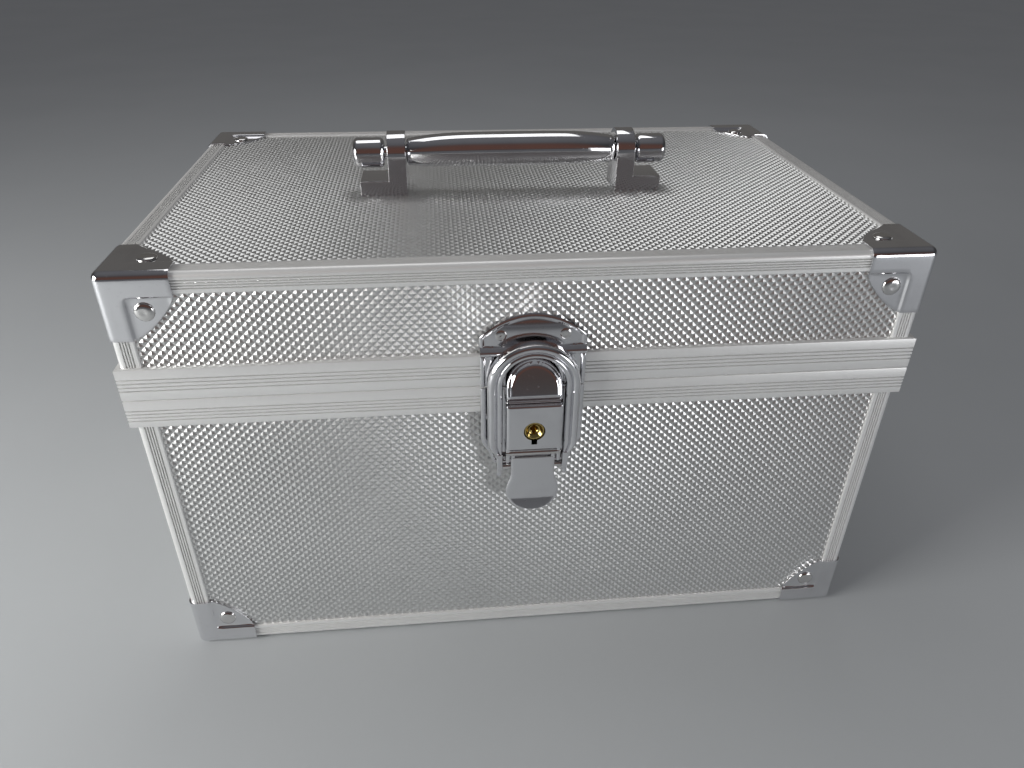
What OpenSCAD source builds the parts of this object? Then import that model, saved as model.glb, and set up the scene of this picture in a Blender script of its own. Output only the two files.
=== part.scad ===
// Hard-sided sewing box with a pair of cantilever trays.
// Origin: middle of the footprint, on the surface the box stands on.
// +X is the long side to the right, +Y is the back (hinge side), +Z is up.

/* [Case] */
// Width over the edge extrusions
case_w = 269; // [230:1:340]
// Depth over the edge extrusions
case_d = 172.4; // [164:0.4:210]
// Height over the edge extrusions
case_h = 163.4; // [160:0.4:200]
// Height of the joint between base and lid
seam_z = 119.8; // [116:0.2:128]
// Gap at the joint
seam_gap = 0.3; // [0.2:0.1:0.8]
// Thickness of the laminated panels
panel_t = 3.2; // [2.5:0.1:4]
// Thickness of the lining
liner_t = 1.8; // [1:0.1:2.5]

/* [Edge extrusions] */
// Width of one leg of an edge extrusion
edge_w = 7.2; // [6:0.1:9]
// Thickness of a leg
edge_t = 1; // [0.8:0.1:1.4]
// Radius of the outside edge
edge_r = 2; // [1:0.1:2.2]
// How far the rim stands proud of the edge extrusions
rim_proud = 1.4; // [1:0.1:2]
// Height of the lid half of the rim
rim_lid_h = 11.6; // [10:0.1:14]
// Height of the base half of the rim
rim_base_h = 10.4; // [9:0.1:13]
// Thickness of the rim's web over the panel edge
rim_web = 1.2; // [0.8:0.1:2]
// Height of the tongue that locates the lid
tongue_h = 5; // [3:0.5:5.5]
// Thickness of the tongue
tongue_t = 1.2; // [0.8:0.1:1.4]
// Hairline joint between two rails or two sheets of lining
joint = 0.1; // [0.05:0.05:0.2]

/* [Corner caps] */
// Sheet thickness of a cap
cap_t = 0.8; // [0.5:0.1:0.9]
// Length of a cap along each edge
cap_leg = 22.6; // [20:0.2:28]
// How much wider the raised part of a cap is than the extrusion leg
cap_lip = 0.6; // [0.2:0.1:1.4]
// Rivet distance from the outer edges
cap_rivet_in = 12.8; // [12:0.1:15]
// How far the free edge of a cap's web bows out
cap_bow = 1.6; // [0.6:0.1:2.4]
// Radius of a rivet head
rivet_r = 3.2; // [2:0.1:3.4]
// Height of a rivet head
rivet_h = 1.2; // [0.8:0.1:1.8]

/* [Hinges] */
// Distance of the hinge axis behind the rim
hinge_off = 3.2; // [2.8:0.1:5]
// Length of one hinge
hinge_len = 44; // [30:1:60]
// Distance of a hinge's middle from the middle of the case
hinge_x = 80; // [50:1:95]
// Radius of a knuckle
knuckle_r = 2.2; // [1.8:0.1:2.6]
// Radius of the hinge pin
hinge_pin_r = 1.2; // [0.9:0.1:1.4]
// Thickness of a leaf
leaf_t = 1; // [0.8:0.1:1.2]
// Height of a leaf on the rim
leaf_h = 8; // [6:0.5:9]

/* [Tray linkage] */
// Horizontal reach of an arm at rest
arm_y = 60.8; // [56:0.4:62]
// Rise of an arm at rest
arm_z = 20; // [18:0.5:21]
// Distance between the front and the rear arm
arm_pitch = 50; // [44:1:54]
// Place of the rear arm's lower pivot in front of the hinge axis
rear_pivot_in = 35; // [33:0.5:38]
// Height of the lower pivots below the hinge axis
pivot_drop = 10; // [8:0.5:11]
// Width of an arm
arm_w = 9; // [8:0.5:11]
// Thickness of an arm
arm_t = 1.5; // [1:0.1:2]
// Thickness of a bracket plate
bracket_t = 1.2; // [1:0.1:1.6]
// Side gap between sliding layers
layer_gap = 0.3; // [0.2:0.05:0.5]
// Radius of a linkage pin
pin_r = 2; // [1.5:0.1:2.5]
// Clearance of a running pin
pin_clear = 0.05; // [0.02:0.01:0.1]
// Clearance of the pivots that close a loop
loop_clear = 0.4; // [0.2:0.05:0.6]

/* [Trays] */
// Wall and floor of a tray
tray_t = 1.5; // [1.2:0.1:2]
// Corner radius of a tray
tray_r = 5; // [3:0.5:8]
// Gap in front of the trays
tray_front_gap = 1.2; // [0.8:0.1:3]
// How far the upper tray reaches behind the lid pivot
upper_back = 10; // [7:0.5:11]
// Height of the upper tray
upper_h = 30; // [24:1:30]
// How far the lower tray reaches behind the rear arm's middle
lower_back = 10.6; // [7:0.1:11]
// Height of the lower tray
lower_h = 30; // [22:1:34]
// Gap between the two trays
tray_gap = 4; // [3:0.5:6]
// Thickness of a divider
divider_t = 1.2; // [1:0.1:2]
// Clearance of a divider in its tray
divider_clear = 0.3; // [0.2:0.05:0.5]

/* [Latch] */
// Width of the latch plates
plate_w = 36; // [32:0.5:40]
// Thickness of the latch plates
plate_t = 1; // [0.8:0.1:1.2]
// Height of the catch plate over the joint
catch_h = 26.2; // [25:0.2:28]
// Height of the shoulders of the catch plate over the joint
catch_shoulder = 18.4; // [17:0.2:20]
// Depth of the base plate below the joint
base_plate_h = 33; // [31:0.5:36]
// Width of the lock housing
housing_w = 19.4; // [17:0.2:20]
// Depth of the lock housing in front of the plates
housing_d = 8; // [7:0.2:9]
// Outside width of the bail
bail_w = 31.8; // [30:0.2:33]
// Gap beside the housing inside the bail
bail_gap = 1; // [0.6:0.05:1.2]
// Depth of the bail, front to back
bail_d = 4.2; // [3.5:0.1:5]
// Gap between the plates and the bail
bail_back_gap = 1.4; // [1.3:0.1:2]
// Radius of the lock cylinder
lock_r = 3.6; // [3:0.1:4]
// Radius of the latch pins
latch_pin_r = 1.2; // [1:0.05:1.4]
// Length of the lever from its pivot to its tip
lever_len = 24.6; // [22:0.2:28]
// Thickness of the lever
lever_t = 1.2; // [1:0.1:1.5]

/* [Handle] */
// Distance between the inside faces of the posts
handle_span = 82; // [76:1:100]
// Thickness of a post's riser
riser_t = 7; // [6:0.2:8]
// Width of a post's foot
foot_w = 18; // [16:0.5:20]
// Front to back size of a post
post_d = 16; // [14:0.5:18]
// Height of a post's foot
foot_h = 5.6; // [4:0.2:6]
// Height of the handle axis over the lid panel
handle_axis_h = 14.8; // [13:0.2:18]
// Place of the handle in front of the middle
handle_fwd = 6.4; // [0:0.2:12]
// Radius of the grip at its ends
grip_end_r = 5; // [4:0.1:6]
// Radius of the grip in the middle
grip_mid_r = 6.4; // [5:0.1:7]
// Bow of the grip
grip_bow = 2.6; // [0:0.1:3]
// Radius of the end knobs
knob_r = 5.6; // [4.5:0.1:6]
// Length of the end knobs
knob_len = 12; // [8:0.5:13]
// Radius of the spindle through the posts
spindle_r = 2.5; // [2:0.1:3]

/* [Hidden] */
$fn = 48;

// small amount by which two shapes overlap where they join
eps = 0.01;
// how far a cut passes the faces it goes through
past = 1;
// facets of the large arcs
fine = 96;

// half sizes and levels of the case
hw = case_w / 2;
hd = case_d / 2;
floor_z = cap_t;
roof_z = cap_t + case_h;
seam_lo = seam_z - seam_gap / 2;
seam_hi = seam_z + seam_gap / 2;
rim_lo = seam_lo - rim_base_h;
rim_hi = seam_hi + rim_lid_h;
rim_x = hw + rim_proud;
rim_y = hd + rim_proud;

// panel faces, outside (out) and inside (in), and the face of the lining
out_x = hw - edge_t;
out_y = hd - edge_t;
in_x = out_x - panel_t;
in_y = out_y - panel_t;
liner_x = in_x - liner_t;
liner_y = in_y - liner_t;
bottom_in = floor_z + edge_t + panel_t;
top_in = roof_z - edge_t - panel_t;
top_out = roof_z - edge_t;
cap_arm = edge_w + cap_lip;
tongue_gap = liner_t - tongue_t;
lid_liner_gap = 1.4;
lid_liner_z = seam_lo + tongue_h + lid_liner_gap;

// hinge axis
hinge_y = rim_y + hinge_off;
hinge_z = seam_z + 0.2;

// side layers of the tray linkage, from the wall inwards
bracket_x = liner_x - bracket_t;
arm_out_x = bracket_x - layer_gap;
arm_in_x = arm_out_x - arm_t;
lower_x = arm_in_x - layer_gap;
upper_x = lower_x - tray_t - layer_gap;

// linkage pivots [y, z]
rear_pivot = [hinge_y - rear_pivot_in, hinge_z - pivot_drop];
front_pivot = rear_pivot - [arm_pitch, 0];
arm_vec = [-arm_y, arm_z];
lid_pivot = [hinge_y, hinge_z] + arm_vec;
rear_top = rear_pivot + arm_vec;
front_top = front_pivot + arm_vec;
rear_mid = rear_pivot + arm_vec / 2;
front_mid = front_pivot + arm_vec / 2;

// trays
tray_front = -liner_y + tray_front_gap;
upper_d = lid_pivot.x + upper_back - tray_front;
lower_d = rear_mid.x + lower_back - tray_front;
// depth of the arm pins below the rim of the upper tray
pin_depth = 8;
upper_z = rear_top.y - upper_h + pin_depth;
lower_z = upper_z - tray_gap - lower_h;
// depth of the long front compartment, and places of the cross dividers
front_row = 42;
upper_split_y = tray_front + front_row;
upper_cross_x = 40;
lower_cross_x = 44;
// ears: radius, and how far they run down into the wall
ear_r = 6;
ear_root = 4;

// latch planes, front to back
plate_y = -rim_y;
plate_front = plate_y - plate_t;
housing_front = plate_front - housing_d;
bail_back = plate_front - bail_back_gap;
bail_front = bail_back - bail_d;
arch_z = seam_z + 2.4;
arch_in = housing_w / 2 + bail_gap;
lever_axis = [plate_front - 5.4, seam_z - 24.2];
bail_axis = lever_axis + [2.5, -7.6];
key_z = seam_z - 13.8;
block_lo = seam_z - 21.8;
block_hi = seam_z - 3.2;
dome_lo = seam_z - 1.8;
groove_d = 1.4;

// handle
handle_y = -handle_fwd;
handle_z = top_out + handle_axis_h;
post_in = handle_span / 2;
screw_r = 1.5;
screw_clear = 0.25;
screw_step = 9;
screw_head_r = 3.4;
screw_head_h = 1.8;
// metal left over a screw hole in the foot, and over the screw's end
foot_skin = 1;
screw_short = 1.2;
// gap between a riser and its knob, and the knob's soft edge
knob_gap = 1.2;
knob_soft = 1.5;
// direction in which the grip bows, up from straight ahead
bow_tilt = 30;

// ---------- helpers ----------

// a box given by its lowest and highest corners
module slab(lo, hi) {
    translate(lo) cube(hi - lo);
}

// a cylinder along X between x0 and x1, centred at [y, z]
module rod_x(r, x0, x1, at) {
    translate([x0, at.x, at.y]) rotate([0, 90, 0]) cylinder(r = r, h = x1 - x0);
}

// a cylinder along Y between y0 and y1, centred at [x, z]
module rod_y(r, y0, y1, at) {
    translate([at.x, y1, at.y]) rotate([90, 0, 0]) cylinder(r = r, h = y1 - y0);
}

// a copy at each of the four vertical edges
module at_corners() {
    for (sx = [0, 1])
        for (sy = [0, 1])
            mirror([sx, 0, 0]) mirror([0, sy, 0]) children();
}

// a copy on the left and one on the right
module both_sides() {
    for (sx = [0, 1])
        mirror([sx, 0, 0]) children();
}

// a low domed rivet head, flat side at z = 0
module rivet_head(r, h) {
    ball = (r * r + h * h) / (2 * h);
    intersection() {
        translate([0, 0, h - ball]) sphere(r = ball);
        cylinder(r = r + past, h = h + past);
    }
}

// the four rails of a frame of half sizes ax by ay
module mitred_frame(ax, ay) {
    for (s = [0, 180])
        rotate([0, 0, s]) mitred_rail_between(ax, ay) children();
    for (s = [90, 270])
        rotate([0, 0, s]) mitred_rail_between(ay, ax) children();
}

// one rail along X with its outside face at half_off, ends cut at 45 degrees;
// its section is drawn as [distance in from the outside face, z]
module mitred_rail_between(half_len, half_off) {
    reach = 20;
    intersection() {
        translate([-half_len, half_off, 0])
            rotate([90, 0, 90])
                linear_extrude(2 * half_len)
                    mirror([1, 0]) children();
        linear_extrude(2 * roof_z)
            polygon([
                [half_len - reach - joint, half_off - reach],
                [half_len - joint, half_off],
                [joint - half_len, half_off],
                [reach - half_len + joint, half_off - reach]
            ]);
    }
}

// a rectangle from corner to corner in a section
module cut(lo, hi) {
    translate(lo) square(hi - lo);
}

// ---------- panels ----------

module wall_x(y_sign, z0, z1) {
    color("silver")
        slab([-out_x, min(y_sign * out_y, y_sign * in_y), z0],
             [out_x, max(y_sign * out_y, y_sign * in_y), z1]);
}

module wall_y(x_sign, z0, z1) {
    color("silver")
        slab([min(x_sign * out_x, x_sign * in_x), -in_y, z0],
             [max(x_sign * out_x, x_sign * in_x), in_y, z1]);
}

module base_front_panel() { wall_x(-1, bottom_in, seam_lo - rim_web); }
module base_back_panel() { wall_x(1, bottom_in, seam_lo - rim_web); }
module base_left_panel() { wall_y(-1, bottom_in, seam_lo - rim_web); }
module base_right_panel() { wall_y(1, bottom_in, seam_lo - rim_web); }
module lid_front_panel() { wall_x(-1, seam_hi + rim_web, top_in); }
module lid_back_panel() { wall_x(1, seam_hi + rim_web, top_in); }
module lid_left_panel() { wall_y(-1, seam_hi + rim_web, top_in); }
module lid_right_panel() { wall_y(1, seam_hi + rim_web, top_in); }

module base_bottom_panel() {
    color("dimgray")
        slab([-out_x, -out_y, floor_z + edge_t], [out_x, out_y, bottom_in]);
}

module lid_top_panel() {
    color("silver")
        difference() {
            slab([-out_x, -out_y, top_in], [out_x, out_y, top_out]);
            handle_screw_holes(top_in - past, top_out + past);
        }
}

// ---------- edge extrusions ----------

// an angle section with its outside corner at the origin
module angle_section() {
    difference() {
        union() {
            translate([edge_r, edge_r]) circle(r = edge_r);
            cut([edge_r, 0], [edge_w, edge_r]);
            cut([0, edge_r], [edge_r, edge_w]);
            cut([edge_r, edge_r], [edge_w, edge_w]);
        }
        cut([edge_t, edge_t], [edge_w + past, edge_w + past]);
    }
}

module corner_posts(z0, z1) {
    color("gainsboro")
        at_corners()
            translate([-hw, -hd, z0])
                linear_extrude(z1 - z0) angle_section();
}

// rails on the four horizontal edges at the height z, legs pointing up
module edge_rails(z) {
    color("gainsboro") {
        for (s = [0, 180])
            rotate([0, 0, s])
                translate([edge_w - hw, -hd, z])
                    rotate([90, 0, 90])
                        linear_extrude(2 * (hw - edge_w)) angle_section();
        for (s = [90, 270])
            rotate([0, 0, s])
                translate([edge_w - hd, -hw, z])
                    rotate([90, 0, 90])
                        linear_extrude(2 * (hd - edge_w)) angle_section();
    }
}

module base_corner_posts() { corner_posts(floor_z + edge_w, rim_lo); }
module lid_corner_posts() { corner_posts(rim_hi, roof_z - edge_w); }
module base_bottom_rails() { edge_rails(floor_z); }

module lid_top_rails() {
    translate([0, 0, roof_z]) mirror([0, 0, 1]) edge_rails(0);
}

// section of the base half: a channel over the panel edge, with the tongue
module base_rim_section() {
    inner = rim_proud + edge_t + panel_t;
    cut([0, rim_lo], [rim_proud + edge_t, seam_lo - rim_web]);
    cut([0, seam_lo - rim_web], [inner + liner_t, seam_lo]);
    cut([inner, rim_lo], [inner + liner_t, seam_lo - rim_web]);
    cut([inner + tongue_gap, seam_lo], [inner + liner_t, seam_lo + tongue_h]);
}

// section of the lid half: an angle over the panel edge
module lid_rim_section() {
    inner = rim_proud + edge_t + panel_t;
    cut([0, seam_hi + rim_web], [rim_proud + edge_t, rim_hi]);
    cut([0, seam_hi], [inner, seam_hi + rim_web]);
}

module base_rim() {
    color("whitesmoke") mitred_frame(rim_x, rim_y) base_rim_section();
}

module lid_rim() {
    color("whitesmoke") mitred_frame(rim_x, rim_y) lid_rim_section();
}

// ---------- corner caps ----------

// one face of a cap, in the plane of the first two axes
module cap_face() {
    // raised band over the extrusions
    difference() {
        slab([-cap_t, -cap_t, -cap_t], [cap_leg, cap_leg, 0]);
        slab([cap_arm, cap_arm, -cap_t - past], [cap_leg + past, cap_leg + past, past]);
    }
    // step down to the panel
    difference() {
        slab([edge_w, edge_w, -cap_t], [cap_leg, cap_leg, edge_t]);
        slab([cap_arm, cap_arm, -cap_t - past], [cap_leg + past, cap_leg + past, edge_t + past]);
    }
    // sunken web with a bowed free edge
    half_chord = (cap_leg - cap_arm) / sqrt(2);
    web_r = (half_chord * half_chord + cap_bow * cap_bow) / (2 * cap_bow);
    web_c = cap_arm + (half_chord + cap_bow - web_r) / sqrt(2);
    intersection() {
        slab([edge_w, edge_w, edge_t - cap_t], [cap_leg, cap_leg, edge_t]);
        translate([web_c, web_c, 0]) cylinder(r = web_r, h = edge_t, $fn = fine);
    }
}

module base_corner_caps() {
    color("lightgray")
        at_corners() translate([-hw, -hd, floor_z]) cap_three_faces();
}

module lid_corner_caps() {
    color("lightgray")
        at_corners()
            translate([-hw, -hd, roof_z]) mirror([0, 0, 1]) cap_three_faces();
}

// the three faces of a cap whose inside corner is at the origin
module cap_three_faces() {
    cap_face();
    multmatrix([[1, 0, 0, 0], [0, 0, 1, 0], [0, 1, 0, 0]]) cap_face();
    multmatrix([[0, 0, 1, 0], [0, 1, 0, 0], [1, 0, 0, 0]]) cap_face();
}

// rivet on the face in the plane of the first two axes
module cap_rivet() {
    translate([cap_rivet_in, cap_rivet_in, edge_t - cap_t])
        mirror([0, 0, 1]) rivet_head(rivet_r, rivet_h);
}

module side_cap_rivets() {
    multmatrix([[1, 0, 0, 0], [0, 0, 1, 0], [0, 1, 0, 0]]) cap_rivet();
    multmatrix([[0, 0, 1, 0], [0, 1, 0, 0], [1, 0, 0, 0]]) cap_rivet();
}

module base_cap_rivets() {
    color("silver")
        at_corners() translate([-hw, -hd, floor_z]) side_cap_rivets();
}

module lid_cap_rivets() {
    color("silver")
        at_corners()
            translate([-hw, -hd, roof_z])
                mirror([0, 0, 1]) {
                    cap_rivet();
                    side_cap_rivets();
                }
}

// ---------- lining ----------

// four upright sheets between two heights
module liner_walls(z0, z1) {
    end_x = liner_x - joint;
    both_sides() slab([liner_x, -in_y, z0], [in_x, in_y, z1]);
    for (s = [0, 180])
        rotate([0, 0, s]) slab([-end_x, liner_y, z0], [end_x, in_y, z1]);
}

module base_liner() {
    color("#2b2b2e") {
        slab([-in_x, -in_y, bottom_in], [in_x, in_y, bottom_in + liner_t]);
        liner_walls(bottom_in + liner_t + joint, rim_lo);
    }
}

module lid_liner() {
    color("#2b2b2e") {
        difference() {
            slab([-in_x, -in_y, top_in - liner_t], [in_x, in_y, top_in]);
            handle_screw_holes(top_in - liner_t - past, top_in + past);
        }
        liner_walls(lid_liner_z, top_in - liner_t - joint);
    }
}

// ---------- tray linkage ----------

bracket_r = 3;

// plate against the wall, corners rounded, [y, z] corners
module bracket_plate(lo, hi) {
    translate([bracket_x, 0, 0])
        rotate([90, 0, 90])
            linear_extrude(bracket_t) round_rect(lo, hi, bracket_r);
}

module round_rect(lo, hi, r) {
    for (y = [lo.x + r, hi.x - r])
        for (z = [lo.y + r, hi.y - r])
            translate([y, z]) circle(r = r);
    cut([lo.x + r, lo.y], [hi.x - r, hi.y]);
    cut([lo.x, lo.y + r], [hi.x, hi.y - r]);
}

// margins of the bracket plates round their pivots: ends, below, above
base_margin_y = 8;
base_margin_lo = 9;
base_margin_hi = 6;
lid_margin_y = 9;
lid_margin_lo = 6.5;
lid_margin_hi = 8;
base_bracket_lo = front_pivot - [base_margin_y, base_margin_lo];
base_bracket_hi = rear_pivot + [base_margin_y, base_margin_hi];
lid_bracket_lo = lid_pivot - [lid_margin_y, lid_margin_lo];
lid_bracket_hi = lid_pivot + [lid_margin_y, lid_margin_hi];

// flush rivets: radius, and places from the pivots [along y, up]
flush_rivet_r = 2.2;
base_rivet_at = [12.5, -2];
lid_rivet_at = [5, 3.6];
base_rivets = [
    front_pivot + base_rivet_at,
    (front_pivot + rear_pivot) / 2 + [0, base_rivet_at.y],
    rear_pivot + [-base_rivet_at.x, base_rivet_at.y]
];
lid_rivets = [lid_pivot + [-lid_rivet_at.x, lid_rivet_at.y], lid_pivot + lid_rivet_at];

// heads of the upper tray's pins, and how far a pin stops short of the arm's face
pin_head_rim = 1.2;
pin_head_h = 1;
pin_short = 0.1;

module tray_brackets() {
    color("gainsboro")
        both_sides()
            difference() {
                bracket_plate(base_bracket_lo, base_bracket_hi);
                for (p = [front_pivot, rear_pivot])
                    rod_x(pin_r + pin_clear, bracket_x - past, liner_x + past, p);
                for (p = base_rivets)
                    rod_x(flush_rivet_r + pin_clear, bracket_x - past, liner_x + past, p);
            }
}

module tray_bracket_rivets() {
    color("silver")
        both_sides()
            for (p = base_rivets)
                rod_x(flush_rivet_r, bracket_x, liner_x, p);
}

module arm_base_pins() {
    color("silver")
        both_sides()
            for (p = [front_pivot, rear_pivot])
                rod_x(pin_r, arm_in_x, liner_x, p);
}

module lid_tray_brackets() {
    color("gainsboro")
        both_sides()
            difference() {
                bracket_plate(lid_bracket_lo, lid_bracket_hi);
                rod_x(pin_r + pin_clear, bracket_x - past, liner_x + past, lid_pivot);
                for (p = lid_rivets)
                    rod_x(flush_rivet_r + pin_clear, bracket_x - past, liner_x + past, p);
            }
}

module lid_bracket_rivets() {
    color("silver")
        both_sides()
            for (p = lid_rivets)
                rod_x(flush_rivet_r, bracket_x, liner_x, p);
}

module lid_tray_pins() {
    color("silver")
        both_sides()
            rod_x(pin_r, upper_x - tray_t, liner_x, lid_pivot);
}

// arm from a lower pivot, with holes at its foot, middle and top
module arm(foot, mid_clear, top_clear) {
    difference() {
        translate([arm_in_x, foot.x, foot.y])
            rotate([90, 0, 90])
                linear_extrude(arm_t)
                    rotate(atan2(arm_vec.y, arm_vec.x)) arm_outline();
        rod_x(pin_r + pin_clear, arm_in_x - past, arm_out_x + past, foot);
        rod_x(pin_r + mid_clear, arm_in_x - past, arm_out_x + past, foot + arm_vec / 2);
        rod_x(pin_r + top_clear, arm_in_x - past, arm_out_x + past, foot + arm_vec);
    }
}

module arm_outline() {
    arm_len = norm(arm_vec);
    circle(d = arm_w);
    translate([arm_len, 0]) circle(d = arm_w);
    cut([0, -arm_w / 2], [arm_len, arm_w / 2]);
}

module front_arms() {
    color("gainsboro") both_sides() arm(front_pivot, pin_clear, pin_clear);
}

module rear_arms() {
    color("gainsboro") both_sides() arm(rear_pivot, loop_clear, loop_clear);
}

// ---------- trays ----------

// open tray of half width hx from y0, d deep, h high, standing at z0
module tray(hx, y0, d, z0, h) {
    difference() {
        translate([0, 0, z0])
            linear_extrude(h) round_rect([-hx, y0], [hx, y0 + d], tray_r);
        translate([0, 0, z0 + tray_t])
            linear_extrude(h)
                round_rect([tray_t - hx, y0 + tray_t], [hx - tray_t, y0 + d - tray_t],
                           tray_r - tray_t);
    }
}

// ear that rises from a side wall of outside face x to a pivot
module tray_ear(x, pivot, z0) {
    slab([x - tray_t, pivot.x - ear_r, z0], [x, pivot.x + ear_r, pivot.y]);
    rod_x(ear_r, x - tray_t, x, pivot);
}

module upper_tray() {
    color("#3c3e42")
        difference() {
            union() {
                tray(upper_x, tray_front, upper_d, upper_z, upper_h);
                both_sides() tray_ear(upper_x, lid_pivot, upper_z + upper_h - ear_root);
            }
            both_sides() {
                rod_x(pin_r + pin_clear, upper_x - tray_t - past, upper_x + past, front_top);
                rod_x(pin_r + pin_clear, upper_x - tray_t - past, upper_x + past, rear_top);
                rod_x(pin_r + loop_clear, upper_x - tray_t - past, upper_x + past, lid_pivot);
            }
        }
}

module upper_tray_pins() {
    color("silver")
        both_sides()
            for (p = [front_top, rear_top]) {
                rod_x(pin_r, upper_x - tray_t, arm_out_x - pin_short, p);
                rod_x(pin_r + pin_head_rim, upper_x - tray_t - pin_head_h, upper_x - tray_t, p);
            }
}

module lower_tray() {
    color("#3c3e42")
        difference() {
            union() {
                tray(lower_x, tray_front, lower_d, lower_z, lower_h);
                for (p = [front_mid, rear_mid])
                    both_sides() tray_ear(lower_x, p, lower_z + lower_h - ear_root);
            }
            for (p = [front_mid, rear_mid])
                both_sides()
                    rod_x(pin_r + pin_clear, lower_x - tray_t - past, lower_x + past, p);
        }
}

module lower_tray_pins() {
    color("silver")
        both_sides()
            for (p = [front_mid, rear_mid])
                rod_x(pin_r, lower_x - tray_t, arm_out_x - pin_short, p);
}

// heights of the dividers inside a tray
divider_drop = 4;

module upper_tray_dividers() {
    x_end = upper_x - tray_t - divider_clear;
    z0 = upper_z + tray_t;
    z1 = upper_z + upper_h - divider_drop;
    y_end = tray_front + upper_d - tray_t - divider_clear;
    color("#55585e") {
        slab([-x_end, upper_split_y, z0], [x_end, upper_split_y + divider_t, z1]);
        both_sides()
            slab([upper_cross_x, upper_split_y + divider_t + divider_clear, z0],
                 [upper_cross_x + divider_t, y_end, z1]);
    }
}

module lower_tray_dividers() {
    y0 = tray_front + tray_t + divider_clear;
    y1 = tray_front + lower_d - tray_t - divider_clear;
    color("#55585e")
        both_sides()
            slab([lower_cross_x, y0, lower_z + tray_t],
                 [lower_cross_x + divider_t, y1, lower_z + lower_h - divider_drop]);
}

// ---------- hinges ----------

knuckle_gap = 0.3;
knuckle_mid = hinge_len / 3;
// distance of a leaf from the height of the axis, and of its curl
leaf_step = 1.8;
curl_step = 0.6;
leaf_rivet_r = 2;
leaf_rivet_h = 0.9;
// how far the rivets sit beyond the middle of a leaf
leaf_rivet_off = 1;

// curl from the leaf to the knuckle, then the knuckle, between two places
module knuckle(x0, x1, z0, z1) {
    difference() {
        union() {
            slab([x0, rim_y, z0], [x1, hinge_y, z1]);
            rod_x(knuckle_r, x0, x1, [hinge_y, hinge_z]);
        }
        rod_x(hinge_pin_r + pin_clear, x0 - past, x1 + past, [hinge_y, hinge_z]);
    }
}

module hinge_lower_leaves() {
    color("silver")
        for (s = [-1, 1]) {
            x = s * hinge_x;
            slab([x - hinge_len / 2, rim_y, hinge_z - leaf_step - leaf_h],
                 [x + hinge_len / 2, rim_y + leaf_t, hinge_z - leaf_step]);
            for (k = [0, 1])
                translate([x, 0, 0]) mirror([k, 0, 0])
                    knuckle(knuckle_mid / 2 + knuckle_gap, hinge_len / 2,
                            hinge_z - leaf_step - curl_step, hinge_z - curl_step);
        }
}

module hinge_upper_leaves() {
    color("silver")
        for (s = [-1, 1]) {
            x = s * hinge_x;
            slab([x - hinge_len / 2, rim_y, hinge_z + leaf_step],
                 [x + hinge_len / 2, rim_y + leaf_t, hinge_z + leaf_step + leaf_h]);
            knuckle(x - knuckle_mid / 2, x + knuckle_mid / 2,
                    hinge_z + curl_step, hinge_z + leaf_step + curl_step);
        }
}

module hinge_pins() {
    color("gray")
        for (s = [-1, 1])
            rod_x(hinge_pin_r, s * hinge_x - hinge_len / 2, s * hinge_x + hinge_len / 2,
                  [hinge_y, hinge_z]);
}

// three rivets on each leaf at the height z
module leaf_rivets(z) {
    color("silver")
        for (s = [-1, 1])
            for (k = [-1, 0, 1])
                translate([s * hinge_x + k * hinge_len / 3, rim_y + leaf_t, z])
                    rotate([-90, 0, 0]) rivet_head(leaf_rivet_r, leaf_rivet_h);
}

module hinge_lower_rivets() {
    leaf_rivets(hinge_z - leaf_step - leaf_h / 2 - leaf_rivet_off);
}

module hinge_upper_rivets() {
    leaf_rivets(hinge_z + leaf_step + leaf_h / 2 + leaf_rivet_off);
}

// ---------- latch ----------

// catch plate: height of the joggle over the rim, its gap at the joint, and its nib
joggle_h = 1.6;
plate_gap = 0.2;
nib_half = 5;
nib_out = 1;
nib_step = 1;
nib_h = 2.6;
// catch rivets: [x, height over the joint], radius and height
catch_rivet_at = [10.4, 18.6];
catch_rivet_r = 3.1;
catch_rivet_h = 1.4;
// base plate: the taper towards its toe, and its pad
plate_taper = 22;
shank_half = 14.6;
toe_half = 11.8;
toe_h = 3;
pad_half = 11;
pad_in = 2;
// base plate rivets: [x, height over the joint], radius and height
plate_rivet_at = [13.5, -13];
plate_rivet_r = 2.2;
plate_rivet_h = 0.9;
// cheeks that hold the lever, and how far they reach below its pivot and into the block
cheek_t = 1.6;
cheek_drop = 4;
cheek_root = 1;
// groove between block and dome: how much narrower it is, and the dome's soft edge
groove_in = 0.8;
dome_soft = 4;
// key hole: wall left behind it, half width and depth of the slot below it
lock_wall = 2;
slot_half = 0.9;
slot_d = 3;
slot_len = 2;
slot_root = 0.6;
// lock cylinder: inset in the hole, key way and bore
lock_inset = 0.4;
lock_back_gap = 0.1;
key_half = 0.6;
key_reach = 2.2;
bore_r = 1.3;
bore_d = 3;

// sheet standing in front of y, from an outline in X and Z
module front_sheet(y, t) {
    translate([0, y, 0]) rotate([90, 0, 0]) linear_extrude(t) children();
}

// catch plate outline above z0: straight sides, then a bow
module catch_outline(z0) {
    bow = catch_h - catch_shoulder;
    half = plate_w / 2;
    bow_r = (half * half + bow * bow) / (2 * bow);
    shoulder = seam_z + catch_shoulder;
    cut([-half, z0], [half, shoulder]);
    intersection() {
        translate([0, seam_z + catch_h - bow_r]) circle(r = bow_r, $fn = fine);
        cut([-half, shoulder - eps], [half, shoulder + bow + past]);
    }
}

module catch_plate() {
    color("lightgray") {
        // part on the lid panel
        front_sheet(-out_y, plate_t) catch_outline(rim_hi);
        // joggle over the rim
        slab([-plate_w / 2, plate_front, rim_hi], [plate_w / 2, -out_y, rim_hi + joggle_h]);
        // part in front of the rim
        slab([-plate_w / 2, plate_front, seam_hi + plate_gap], [plate_w / 2, plate_y, rim_hi]);
        // nib that the bail sits over
        slab([-nib_half, plate_front - nib_out, rim_hi + nib_step],
             [nib_half, -out_y, rim_hi + nib_step + nib_h]);
    }
}

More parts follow.
